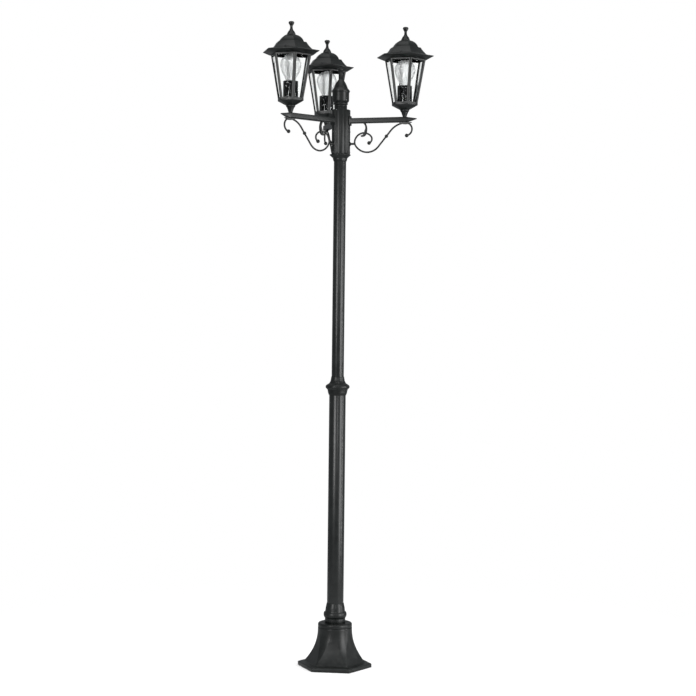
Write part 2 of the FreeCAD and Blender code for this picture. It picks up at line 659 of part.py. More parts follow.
# ---- Arm ----
def arm(rod):
    """Cast bar from the hub's lobe to a pointed tip, with its flange and the saddle over the scroll."""
    root = LOBE_REACH
    tip = LANTERN_REACH + ARM_TIP_BEYOND
    half = ARM_HEIGHT / 2
    shoulder = tip - ARM_TIP_LENGTH
    side = Part.Face(Part.Wire(path_edges((root, arm_level - half), [
        (shoulder, arm_level - half), (tip, arm_level + 1), (tip, arm_level + 3),
        (shoulder, arm_level + half), (root, arm_level + half),
        (root, arm_level - half)]))).extrude(V(0, ARM_WIDTH, 0))
    side.translate(V(0, -ARM_WIDTH / 2, 0))
    corners = [V(root, -ARM_WIDTH / 2, 0), V(shoulder, -ARM_WIDTH / 2, 0), V(tip, -1.5, 0), V(tip, 1.5, 0),
               V(shoulder, ARM_WIDTH / 2, 0), V(root, ARM_WIDTH / 2, 0), V(root, -ARM_WIDTH / 2, 0)]
    plan = Part.Face(Part.makePolygon(corners)).extrude(V(0, 0, 2 * ARM_HEIGHT))
    plan.translate(V(0, 0, arm_level - ARM_HEIGHT))
    bar = side.common(plan)
    long_edges = [e for e in bar.Edges if e.Length > 0.9 * (shoulder - root)
                  and abs(e.tangentAt(e.FirstParameter).x) > 0.99]
    bar = bar.makeChamfer(ARM_ROUNDING, long_edges)
    flange = block(root, root + ARM_FLANGE_THICKNESS, LOBE_WIDTH + 2,
                   arm_level - ARM_FLANGE_HEIGHT / 2, arm_level + ARM_FLANGE_HEIGHT / 2)
    edges = [e for e in flange.Edges if abs(e.tangentAt(e.FirstParameter).x) > 0.99]
    flange = flange.makeFillet(LOBE_ROUNDING, edges)
    middle = scroll_top_reach - 2
    saddle = Part.Face(Part.Wire(path_edges((middle - SADDLE_LENGTH / 2, arm_underside), [
        (middle, arm_underside - SADDLE_DEPTH, middle + SADDLE_LENGTH / 2, arm_underside),
        (middle - SADDLE_LENGTH / 2, arm_underside)]))).extrude(V(0, SADDLE_WIDTH, 0))
    saddle.translate(V(0, -SADDLE_WIDTH / 2, 0))
    body = bar.fuse(flange).fuse(saddle.cut(rod))
    body = body.cut(Part.makeCylinder(WIRE_BORE_RADIUS, LANTERN_REACH - root,
                                      V(root, 0, arm_level), V(1, 0, 0)))
    well = Part.makeCylinder(NIPPLE_RADIUS, ARM_HEIGHT, V(LANTERN_REACH, 0, arm_top - NIPPLE_DEPTH))
    return body.cut(well).removeSplitter()


# ---- Lantern ----
def lantern_foot():
    bore = NIPPLE_RADIUS + SEAT
    neck, wide, top = FOOT_NECK_RADIUS, FOOT_RADIUS, FOOT_HEIGHT
    body = turned((bore, 0), (neck, 0), (neck - 0.4, 3), (neck + 0.6, 6), (wide - 3, 15.5),
                  (wide - 1.6, 17), (wide, 19), (wide, top), (bore, top))
    return lifted(body, arm_top)


def cage_flat(level, corner_inset=0.0):
    """Distance of the cage's flared sides at a level above the window's foot."""
    return (BOWL_CORNER + cage_slope * level - corner_inset) * COS30


def lantern_cage():
    """Six-sided cage: bowl, lower bar, six corner posts and upper bar, cast in one."""
    low = BOWL_HEIGHT + BAR_HEIGHT
    top = cage_height
    flat = BOWL_CORNER * COS30
    inset = CAGE_WALL / COS30
    outer = hexagonal((0, 0), (FOOT_RADIUS, 0), (flat, BOWL_HEIGHT), (flat, low),
                      (cage_flat(top - low), top), (0, top))
    ledge_flat = cage_flat(-PANE_LEDGE, inset) - PANE_THICKNESS - 0.4
    room_flat = flat - CAGE_WALL
    inner = hexagonal((0, BOWL_FLOOR), (ledge_flat - 3.5, BOWL_FLOOR), (ledge_flat, low - 2 * PANE_LEDGE),
                      (ledge_flat, low - PANE_LEDGE), (room_flat, low - PANE_LEDGE), (room_flat, low),
                      (cage_flat(top - low, inset), top), (0, top))
    body = outer.cut(inner)
    half_low = BOWL_CORNER / 2 - POST_FLANK
    half_high = (BOWL_CORNER + cage_slope * WINDOW_HEIGHT) / 2 - POST_FLANK
    corners = [V(0, -half_low, low), V(0, half_low, low), V(0, half_high, low + WINDOW_HEIGHT),
               V(0, -half_high, low + WINDOW_HEIGHT), V(0, -half_low, low)]
    window = Part.Face(Part.makePolygon(corners)).extrude(V(2 * CAGE_TOP_CORNER, 0, 0))
    for k in range(6):
        body = body.cut(turned_to(window, 60 * k))
    body = body.cut(cylinder(NIPPLE_RADIUS + SEAT, BOWL_FLOOR))
    return lifted(body.removeSplitter(), cage_foot)


def panes():
    """Six clear panes that stand on the cage's ledge behind the posts."""
    low = -PANE_LEDGE
    high = WINDOW_HEIGHT + TOP_BAR_HEIGHT - 1.5
    inset = CAGE_WALL / COS30 + 0.1
    layer = PANE_THICKNESS / COS30
    solids = []
    outer = [(cage_flat(low, inset), low), (cage_flat(high, inset), high)]
    inner = [(cage_flat(low, inset + layer), low), (cage_flat(high, inset + layer), high)]
    side = Part.Face(Part.Wire(path_edges(outer[0], [outer[1], inner[1], inner[0], outer[0]])))
    slab = side.extrude(V(0, 2 * CAGE_TOP_CORNER, 0))
    slab.translate(V(0, -CAGE_TOP_CORNER, 0))
    half_low = cage_flat(low, inset) * TAN30 - 1.7
    half_high = cage_flat(high, inset) * TAN30 - 1.7
    corners = [V(0, -half_low, low), V(0, half_low, low), V(0, half_high, high), V(0, -half_high, high),
               V(0, -half_low, low)]
    outline = Part.Face(Part.makePolygon(corners)).extrude(V(2 * CAGE_TOP_CORNER, 0, 0))
    pane = slab.common(outline)
    for k in range(6):
        solids.append(turned_to(pane, 60 * k))
    return lifted(Part.makeCompound(solids), window_foot)


def nipple():
    """Threaded tube through arm, foot and bowl, with its nut inside the bowl."""
    foot = arm_top - NIPPLE_DEPTH
    top = holder_foot + 12
    body = tube(NIPPLE_RADIUS, NIPPLE_RADIUS - NIPPLE_BORE, top - foot, foot)
    nut = hexagon_prism(17, 4, holder_foot + 1.5).cut(cylinder(NIPPLE_RADIUS, 4, holder_foot + 1.5))
    return Part.makeCompound([body, nut])


# ---- Roof ----
def roof_outline(inset):
    """Flat side's distance and level of the dome, from the brim's root to the top."""
    root = DOME_CORNER * COS30 - inset
    ledge = LEDGE_CORNER * COS30 - inset
    inner = LEDGE_INNER_CORNER * COS30 - inset
    crown = ROOF_TOP_CORNER * COS30 - (inset and 1.0)
    drop = inset * 0.9
    return ((root, DOME_FOOT - drop), (root - 7.2, DOME_HOLLOW_LEVEL - drop, ledge, LEDGE_LEVEL - drop),
            (inner, LEDGE_LEVEL + 0.4 - drop),
            (inner - 5.8, DOME_SHOULDER_LEVEL - drop, crown, ROOF_HEIGHT - drop))


def lantern_roof():
    """Hollow six-sided roof: brim with a wedge-shaped edge, ledged dome and a recess over the cage's top."""
    brim = BRIM_CORNER * COS30
    recess = (CAGE_TOP_CORNER + SLIP) * COS30 + SLIP
    outside = roof_outline(0)
    outer = hexagonal((0, -BRIM_DROP), (recess + 0.6, -BRIM_DROP), (brim, BRIM_RISE),
                      (brim, BRIM_RISE + BRIM_EDGE), *outside, (0, ROOF_HEIGHT))
    inside = roof_outline(ROOF_WALL)
    room = hexagonal((0, 0), (inside[0][0] - 1, 0), *inside, (0, inside[-1][-1]))
    seat = hexagonal((0, -BRIM_DROP), (recess, -BRIM_DROP), (recess, 0), (0, 0))
    body = outer.cut(room).cut(seat)
    body = body.cut(cylinder(FINIAL_TAIL_RADIUS, ROOF_HEIGHT))
    return lifted(body.cut(roof_screw_group()).removeSplitter(), cage_top)


def roof_screw_group():
    """Three small dome-headed screws at the dome's foot."""
    reach = DOME_CORNER * COS30 - 2.6
    screw = radial_screw(reach, 3.4, 1.5, ROOF_SCREW_RADIUS, 1.3, ROOF_SCREW_LEVEL)
    return Part.makeCompound([turned_to(screw, 120 * k) for k in range(3)])


def roof_finial():
    """Turned cone, stem and ball on the roof, with a threaded tail through the roof's top."""
    base, cone = FINIAL_BASE_RADIUS, FINIAL_CONE_HEIGHT
    stem, height = FINIAL_STEM_RADIUS, FINIAL_STEM_HEIGHT
    tail = FINIAL_TAIL_RADIUS
    body = turned((0, -FINIAL_TAIL_LENGTH), (tail, -FINIAL_TAIL_LENGTH), (tail, 0), (base, 0), (base, 2.5),
                  (base - 2.6, 10.5, stem + 0.8, cone),
                  (stem - 0.3, cone + height / 2, stem + 0.2, cone + height),
                  *knob_steps(cone + height, stem + 0.6, FINIAL_KNOB_RADIUS, FINIAL_KNOB_HEIGHT))
    return lifted(body, cage_top + ROOF_HEIGHT)


# ---- Lampholder and bulb ----
def holder_sleeve():
    return tube(SLEEVE_RADIUS, SLEEVE_WALL, SLEEVE_HEIGHT, holder_foot)


def lampholder():
    """Insulating body with a well for the bulb's cap, a contact disc and a foot over the nipple's nut."""
    radius = SLEEVE_RADIUS - SLEEVE_WALL - SLIP
    well = BULB_CAP_RADIUS + 0.4
    body = turned((NIPPLE_RADIUS + 6, 0), (radius - 4, 0), (radius, 4), (radius, HOLDER_HEIGHT - 3),
                  (radius - 1.5, HOLDER_HEIGHT), (well, HOLDER_HEIGHT), (well, HOLDER_FLOOR),
                  (0, HOLDER_FLOOR), (0, 14), (NIPPLE_RADIUS + 6, 14))
    return lifted(body, holder_foot)


def bulb_outline(inset):
    """Lower neck, flank and ball of the glass, above the cap."""
    centre = BULB_LENGTH - BULB_CAP_HEIGHT - BULB_RADIUS
    ball = BULB_RADIUS - inset
    meet = radians(-28)
    neck = BULB_CAP_RADIUS - 0.4 - inset
    x = ball * cos(meet)
    z = centre + ball * sin(meet)
    return [(neck, 0), (neck + 1, 8), ((neck + 1 + x) / 2 - 0.6, (8 + z) / 2 + 0.2, x, z),
            (ball * cos(radians(31)), centre + ball * sin(radians(31)), 0, centre + ball)]


def bulb_glass():
    foot = holder_foot + HOLDER_FLOOR + SLIP + BULB_CAP_HEIGHT
    outer = turned((0, 0), *bulb_outline(0))
    inner = turned((0, 0), *bulb_outline(BULB_GLASS_WALL))
    return lifted(outer.cut(inner), foot)


def bulb_cap():
    """Screw cap with the centre contact at its foot."""
    foot = holder_foot + HOLDER_FLOOR + SLIP
    radius = BULB_CAP_RADIUS
    body = turned((0, 0), (4.5, 0), (5.5, 2.5), (radius - 2, 5), (radius, 7), (radius, BULB_CAP_HEIGHT),
                  (0, BULB_CAP_HEIGHT))
    return lifted(body, foot)


# ---- Build ----
os.makedirs("parts", exist_ok=True)

export("ground_plate", ground_plate())
export("tie_rod", cylinder(ROD_RADIUS, washer_level + WASHER_THICKNESS + NUT_HEIGHT + 4))
export("tie_rod_nuts", tie_rod_nuts())
export("terminal_block", terminal_block())
export("base_casting", base_casting())
export("base_collar", base_collar())
export("lower_tube", lower_tube())
export("mid_ring", mid_ring())
export("mid_ring_screw", lifted(ring_screw_shape(), ring_foot))
export("upper_tube", upper_tube())
export("hub_collar", hub_collar())
export("hub_casting", hub_casting())
export("pole_cap", pole_cap())
export("cap_screw", lifted(turned_to(cap_screw_shape(), CAP_SCREW_ANGLE), hub_top))
export("pole_finial", pole_finial())

ROD = scroll_rod()
SCROLL = scroll()
LEAF = scroll_leaf(ROD)
ARM = arm(ROD)
LANTERN = {
    "lantern_foot": lantern_foot(),
    "lantern_cage": lantern_cage(),
    "panes": panes(),
    "nipple": nipple(),
    "lantern_roof": lantern_roof(),
    "roof_screws": lifted(roof_screw_group(), cage_top),
    "roof_finial": roof_finial(),
    "holder_sleeve": holder_sleeve(),
    "lampholder": lampholder(),
    "bulb_glass": bulb_glass(),
    "bulb_cap": bulb_cap(),
}
for side, angle in ARM_ANGLES.items():
    export("arm_" + side, turned_to(ARM, angle))
    export("scroll_" + side, turned_to(SCROLL, angle))
    export("scroll_leaf_" + side, turned_to(LEAF, angle))
    export("hub_screws_" + side, turned_to(lifted(hub_screws(), hub_foot), angle))
    for name, shape in LANTERN.items():
        export(name + "_" + side, at_lantern(shape, angle))
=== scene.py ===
"""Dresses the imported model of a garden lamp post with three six-sided lanterns.

Everything is in metres and in the frame of the CAD model: +Z is up along the post, the rear arm points
along +Y and the front is -Y. Each sub-assembly is a class whose fields are its sizes; each finish is a
frozen dataclass.
"""

import logging
from dataclasses import dataclass, field
from enum import Enum
from functools import cached_property
from math import cos, pi, radians, sin

import bpy
from mathutils import Matrix, Vector


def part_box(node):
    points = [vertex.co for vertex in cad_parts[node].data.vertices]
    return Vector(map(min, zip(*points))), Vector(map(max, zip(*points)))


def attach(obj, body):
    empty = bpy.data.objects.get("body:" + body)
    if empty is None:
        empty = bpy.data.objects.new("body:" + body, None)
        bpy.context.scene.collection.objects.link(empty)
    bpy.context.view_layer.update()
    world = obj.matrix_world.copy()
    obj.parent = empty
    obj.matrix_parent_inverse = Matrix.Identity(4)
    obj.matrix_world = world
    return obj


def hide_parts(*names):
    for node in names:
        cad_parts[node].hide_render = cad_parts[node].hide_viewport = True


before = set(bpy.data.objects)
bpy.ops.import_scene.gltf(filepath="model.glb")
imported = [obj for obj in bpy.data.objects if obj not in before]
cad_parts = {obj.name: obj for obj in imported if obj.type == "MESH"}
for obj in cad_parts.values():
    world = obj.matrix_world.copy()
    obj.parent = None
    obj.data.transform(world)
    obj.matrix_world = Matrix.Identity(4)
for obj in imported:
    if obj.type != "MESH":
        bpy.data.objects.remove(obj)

LOG = logging.getLogger("lamp_post")
ARMS = {"right": -30.0, "left": 210.0, "rear": 90.0}
Point = tuple[float, float]
Triple = tuple[float, float, float]


# ---------------------------------------------------------------- shader maths
@dataclass(frozen=True)
class Grain:
    """Cloudy pattern: clouds to the metre, octaves, share of the finer ones, and scale along X, Y and Z."""

    scale: float
    detail: float
    roughness: float
    stretch: Triple = (1, 1, 1)


class Value:
    """A number on a socket; Python arithmetic on it adds Math nodes."""

    def __init__(self, sheet: "Sheet", socket: bpy.types.NodeSocket) -> None:
        """Keeps the sheet and the socket that gives the number."""
        self.sheet = sheet
        self.socket = socket

    def math(self, operation: str, *operands: "Value | float") -> "Value":
        """Adds one Math node for the operands in order and gives its result."""
        node = self.sheet.node("ShaderNodeMath", {"operation": operation}, dict(enumerate(operands)))
        return Value(self.sheet, node.outputs[0])

    def __add__(self, other: "Value | float") -> "Value":
        """Self plus other."""
        return self.math("ADD", self, other)

    def __radd__(self, other: float) -> "Value":
        """Other plus self."""
        return self.math("ADD", other, self)

    def __rsub__(self, other: float) -> "Value":
        """Other minus self."""
        return self.math("SUBTRACT", other, self)

    def __mul__(self, other: "Value | float") -> "Value":
        """Self times other."""
        return self.math("MULTIPLY", self, other)

    def __rmul__(self, other: float) -> "Value":
        """Other times self."""
        return self.math("MULTIPLY", other, self)

    def between(self, low: float, high: float) -> "Value":
        """Ramps smoothly from 0 at low to 1 at high.

        Args:
            low: The number that gives 0.
            high: The number that gives 1.

        Returns:
            The clamped ramp.
        """
        node = self.sheet.node("ShaderNodeMapRange", {"interpolation_type": "SMOOTHSTEP"},
                               {"Value": self, "From Min": low, "From Max": high})
        return Value(self.sheet, node.outputs[0])


class Sheet:
    """The node sheet of a material or of the world."""

    def __init__(self, owner: bpy.types.Material | bpy.types.World) -> None:
        """Empties the sheet.

        Args:
            owner: The material or the world.
        """
        self.owner = owner
        owner.use_nodes = True
        self.tree = owner.node_tree
        self.tree.nodes.clear()

    @cached_property
    def place(self) -> bpy.types.NodeSocket:
        """Where a point of the surface lies."""
        return self.node("ShaderNodeTexCoord").outputs["Object"]

    def feed(self, socket: bpy.types.NodeSocket, value: object) -> None:
        """Links or sets one input.

        Args:
            socket: The input.
            value: A Value, a socket, or a plain number, colour or vector.
        """
        if isinstance(value, Value):
            self.tree.links.new(value.socket, socket)
        elif isinstance(value, bpy.types.NodeSocket):
            self.tree.links.new(value, socket)
        elif isinstance(value, tuple) and len(value) == 3 and socket.type == "RGBA":
            socket.default_value = (*value, 1.0)
        else:
            socket.default_value = value

    def node(self, kind: str, settings: dict | None = None, inputs: dict | None = None) -> bpy.types.Node:
        """Adds any node.

        Args:
            kind: The node's type.
            settings: Its own settings.
            inputs: What goes into its sockets, by name or place.

        Returns:
            The node.
        """
        node = self.tree.nodes.new(kind)
        for key, value in (settings or {}).items():
            setattr(node, key, value)
        for key, value in (inputs or {}).items():
            self.feed(node.inputs[key], value)
        return node

    def noise(self, grain: Grain) -> Value:
        """Cloudy noise over the piece.

        Args:
            grain: The pattern.

        Returns:
            The noise, about 0.2 to 0.8.
        """
        mapping = self.node("ShaderNodeMapping", None, {"Vector": self.place, "Scale": grain.stretch})
        node = self.node("ShaderNodeTexNoise", None, {
            "Vector": mapping.outputs[0], "Scale": grain.scale, "Detail": grain.detail,
            "Roughness": grain.roughness})
        return Value(self, node.outputs[0])

    def mix(self, share: "Value | float", first: object, second: object) -> bpy.types.NodeSocket:
        """Mixes two colours by the share of the second."""
        node = self.node("ShaderNodeMix", {"data_type": "RGBA"}, {0: share, 6: first, 7: second})
        return node.outputs[2]

    def upward(self) -> Value:
        """How far the surface faces up, from -1 to 1."""
        normal = self.node("ShaderNodeTexCoord").outputs["Normal"]
        return Value(self, self.node("ShaderNodeSeparateXYZ", None, {0: normal}).outputs[2])

    def level(self) -> Value:
        """Height above the ground."""
        return Value(self, self.node("ShaderNodeSeparateXYZ", None, {0: self.place}).outputs[2])

    def bump(self, height: Value, depth: float, strength: float) -> bpy.types.NodeSocket:
        """Normal bent by a height of 0 to 1, over a depth in metres, of which the strength shows."""
        node = self.node("ShaderNodeBump", None, {"Height": height, "Distance": depth, "Strength": strength})
        return node.outputs[0]

    def surface(self, **inputs: object) -> bpy.types.Material:
        """Ends the sheet in one Principled surface.

        Args:
            inputs: Its sockets, with underscores for spaces.

        Returns:
            The finished material.
        """
        named = {key.replace("_", " "): value for key, value in inputs.items()}
        shader = self.node("ShaderNodeBsdfPrincipled", None, named)
        self.node("ShaderNodeOutputMaterial", None, {"Surface": shader.outputs[0]})
        return self.owner


def shaded(tone: Triple, share: float) -> Triple:
    """A colour made lighter or darker by a share."""
    return tuple(share * c for c in tone)


# ---------------------------------------------------------------- finishes
@dataclass(frozen=True)
class SatinPaint:
    """Black powder coat on cast aluminium: fine orange peel, faint clouds, and dust where it faces up."""

    name: str = "satin_black_paint"
    slot: str = "black_paint"
    dark: Triple = (0.0030, 0.0038, 0.0036)
    pale: Triple = (0.0060, 0.0074, 0.0071)
    dust: Triple = (0.050, 0.054, 0.051)
    sheen: float = 0.29
    gleam: float = 0.4
    relief: float = 0.00005
    relief_strength: float = 0.55
    clouds: Grain = Grain(34.0, 4.0, 0.55)
    cloud_span: Point = (0.3, 0.7)
    cloud_rough: float = 0.12
    peel: Grain = Grain(900.0, 2.0, 0.4)
    peel_share: float = 0.6
    casting: Grain = Grain(170.0, 3.0, 0.6)
    casting_share: float = 0.8
    facing_span: Point = (0.45, 1.0)
    dust_specks: Grain = Grain(120.0, 5.0, 0.65)
    dust_span: Point = (0.42, 0.75)
    dust_share: float = 0.32
    dust_rough: float = 0.35
    splash_specks: Grain = Grain(60.0, 5.0, 0.7)
    splash_span: Point = (0.45, 0.8)
    splash_share: float = 0.22
    splash_rough: float = 0.3
    splash_level: float = 0.16

    def material(self) -> bpy.types.Material:
        """Builds the paint.

        Returns:
            The material.
        """
        sheet = Sheet(bpy.data.materials.new(self.name))
        clouds = sheet.noise(self.clouds)
        height = sheet.noise(self.peel) * self.peel_share + sheet.noise(self.casting) * self.casting_share
        facing_up = sheet.upward().between(*self.facing_span)
        settled = facing_up * sheet.noise(self.dust_specks).between(*self.dust_span) * self.dust_share
        near_ground = 1.0 - sheet.level().between(0.0, self.splash_level)
        splash = near_ground * sheet.noise(self.splash_specks).between(*self.splash_span) * self.splash_share
        coat = sheet.mix(clouds.between(*self.cloud_span), self.dark, self.pale)
        dusty = sheet.mix(settled, coat, self.dust)
        rough = self.sheen + self.cloud_rough * clouds
        return sheet.surface(
            Base_Color=sheet.mix(splash, dusty, self.dust),
            Roughness=rough + self.dust_rough * settled + self.splash_rough * splash,
            Normal=sheet.bump(height, self.relief, self.relief_strength),
            Specular_IOR_Level=self.gleam)


@dataclass(frozen=True)
class ZincSteel:
    """Bright zinc plate on turned or sheet steel, with faint tool lines and clouds."""

    name: str = "zinc_plated_steel"
    slot: str = "zinc_steel"
    dark: Triple = (0.44, 0.45, 0.46)
    pale: Triple = (0.63, 0.64, 0.63)
    sheen: float = 0.3
    clouds: Grain = Grain(55.0, 4.0, 0.6)
    cloud_span: Point = (0.3, 0.7)
    cloud_rough: float = 0.14
    lines: Grain = Grain(1400.0, 2.0, 0.5, (1, 1, 0.08))
    line_depth: float = 0.00002
    line_strength: float = 0.5

    def material(self) -> bpy.types.Material:
        """Builds the plating.

        Returns:
            The material.
        """
        sheet = Sheet(bpy.data.materials.new(self.name))
        clouds = sheet.noise(self.clouds)
        return sheet.surface(
            Base_Color=sheet.mix(clouds.between(*self.cloud_span), self.dark, self.pale),
            Metallic=1.0,
            Roughness=self.sheen + self.cloud_rough * clouds,
            Normal=sheet.bump(sheet.noise(self.lines), self.line_depth, self.line_strength))


@dataclass(frozen=True)
class BlackScrew:
    """Blackened steel of the small screws, worn in patches."""

    name: str = "blackened_screw_steel"
    slot: str = "dark_steel"
    dark: Triple = (0.018, 0.019, 0.020)
    pale: Triple = (0.060, 0.062, 0.064)
    metal: float = 0.35
    sheen: float = 0.3
    wear: Grain = Grain(700.0, 4.0, 0.7)
    wear_span: Point = (0.5, 0.8)
    wear_rough: float = 0.2
    wear_depth: float = 0.00002
    wear_strength: float = 0.4

    def material(self) -> bpy.types.Material:
        """Builds the blackened steel.

        Returns:
            The material.
        """
        sheet = Sheet(bpy.data.materials.new(self.name))
        wear = sheet.noise(self.wear)
        return sheet.surface(
            Base_Color=sheet.mix(wear.between(*self.wear_span), self.dark, self.pale),
            Metallic=self.metal,
            Roughness=self.sheen + self.wear_rough * wear,
            Normal=sheet.bump(wear, self.wear_depth, self.wear_strength))


@dataclass(frozen=True)
class Glass:
    """Thin glass, clear for the panes and frosted for the bulbs.

    Its index is lower than real glass has, so that the studio's lamps don't mirror in it.
    """

    name: str = "clear_pane_glass"
    slot: str = "clear_glass"
    tint: Triple = (0.985, 0.995, 0.99)
    film: Triple = (0.955, 0.965, 0.96)
    haze: float = 0.0
    bend: float = 1.1
    clear: float = 1.0
    smears: Grain = Grain(90.0, 5.0, 0.65)
    smear_span: Point = (0.5, 0.85)
    haze_span: Point = (0.5, 0.8)
    smear_haze: float = 0.01
    ripple: Grain = Grain(30.0, 2.0, 0.4)
    ripple_depth: float = 0.000004
    ripple_strength: float = 0.5

    def material(self) -> bpy.types.Material:
        """Builds the glass.

        Returns:
            The material.
        """
        sheet = Sheet(bpy.data.materials.new(self.name))
        smears = sheet.noise(self.smears)
        return sheet.surface(
            Base_Color=sheet.mix(smears.between(*self.smear_span), self.tint, self.film),
            Roughness=self.haze + self.smear_haze * smears.between(*self.haze_span),
            IOR=self.bend,
            Transmission_Weight=self.clear,
            Normal=sheet.bump(sheet.noise(self.ripple), self.ripple_depth, self.ripple_strength))


@dataclass(frozen=True)
class BlackPlastic:
    """Moulded black plastic with a faint grain."""

    name: str = "black_moulded_plastic"
    slot: str = "black_plastic"
    tone: Triple = (0.004, 0.004, 0.0045)
    pale_share: float = 1.5
    sheen: float = 0.14
    clouds: Grain = Grain(40.0, 3.0, 0.5)
    cloud_span: Point = (0.35, 0.7)
    cloud_rough: float = 0.1
    grain: Grain = Grain(1200.0, 2.0, 0.5)
    grain_depth: float = 0.00001
    grain_strength: float = 0.5

    def material(self) -> bpy.types.Material:
        """Builds the plastic.

        Returns:
            The material.
        """
        sheet = Sheet(bpy.data.materials.new(self.name))
        clouds = sheet.noise(self.clouds)
        pale = shaded(self.tone, self.pale_share)
        return sheet.surface(
            Base_Color=sheet.mix(clouds.between(*self.cloud_span), self.tone, pale),
            Roughness=self.sheen + self.cloud_rough * clouds,
            Normal=sheet.bump(sheet.noise(self.grain), self.grain_depth, self.grain_strength))


@dataclass(frozen=True)
class CapMetal:
    """Rolled aluminium of a bulb's screw cap."""

    name: str = "rolled_cap_aluminium"
    slot: str = "cap_metal"
    tone: Triple = (0.70, 0.70, 0.69)
    dark_share: float = 0.75
    sheen: float = 0.24
    clouds: Grain = Grain(70.0, 3.0, 0.6)
    cloud_span: Point = (0.3, 0.7)
    cloud_rough: float = 0.14
    lines: Grain = Grain(1500.0, 2.0, 0.5, (0.1, 0.1, 1))
    line_depth: float = 0.00002
    line_strength: float = 0.4

    def material(self) -> bpy.types.Material:
        """Builds the cap's metal.

        Returns:
            The material.
        """
        sheet = Sheet(bpy.data.materials.new(self.name))
        clouds = sheet.noise(self.clouds)
        dark = shaded(self.tone, self.dark_share)
        return sheet.surface(
            Base_Color=sheet.mix(clouds.between(*self.cloud_span), self.tone, dark),
            Metallic=1.0,
            Roughness=self.sheen + self.cloud_rough * clouds,
            Normal=sheet.bump(sheet.noise(self.lines), self.line_depth, self.line_strength))


@dataclass(frozen=True)
class Tungsten:
    """Dull grey wire of the filament and its supports."""

    name: str = "tungsten_wire"
    slot: str = "zinc_steel"
    tone: Triple = (0.24, 0.235, 0.23)
    pale_share: float = 1.6
    metal: float = 0.9
    sheen: float = 0.35
    clouds: Grain = Grain(900.0, 2.0, 0.5)
    cloud_rough: float = 0.1

    def material(self) -> bpy.types.Material:
        """Builds the wire's metal.

        Returns:
            The material.
        """
        sheet = Sheet(bpy.data.materials.new(self.name))
        clouds = sheet.noise(self.clouds)
        return sheet.surface(
            Base_Color=sheet.mix(clouds, self.tone, shaded(self.tone, self.pale_share)),
            Metallic=self.metal,
            Roughness=self.sheen + self.cloud_rough * clouds)


class Finish(Enum):
    """The finishes that the pieces can take."""

    PAINT = SatinPaint()
    TUBE = SatinPaint(name="satin_black_tube_paint", sheen=0.25, gleam=0.52, relief=0.00003)
    ZINC = ZincSteel()
    SCREW = BlackScrew()
    PANE = Glass()
    STEM = Glass(name="bulb_stem_glass", tint=(0.93, 0.94, 0.94))
    BULB = Glass(name="frosted_bulb_glass", tint=(0.995, 0.997, 1.0), film=(0.975, 0.978, 0.99), haze=0.42,
                 bend=1.12, clear=0.92)
    PLASTIC = BlackPlastic()
    CAP = CapMetal()
    WIRE = Tungsten()


class Paintbox:
    """Makes each finish once."""

    made: dict[Finish, bpy.types.Material] = {}

    @classmethod
    def take(cls, finish: Finish) -> bpy.types.Material:
        """Gives a finish's material.

        Args:
            finish: The finish.

        Returns:
            Its material, made on first use.
        """
        if finish not in cls.made:
            cls.made[finish] = finish.value.material()
        return cls.made[finish]


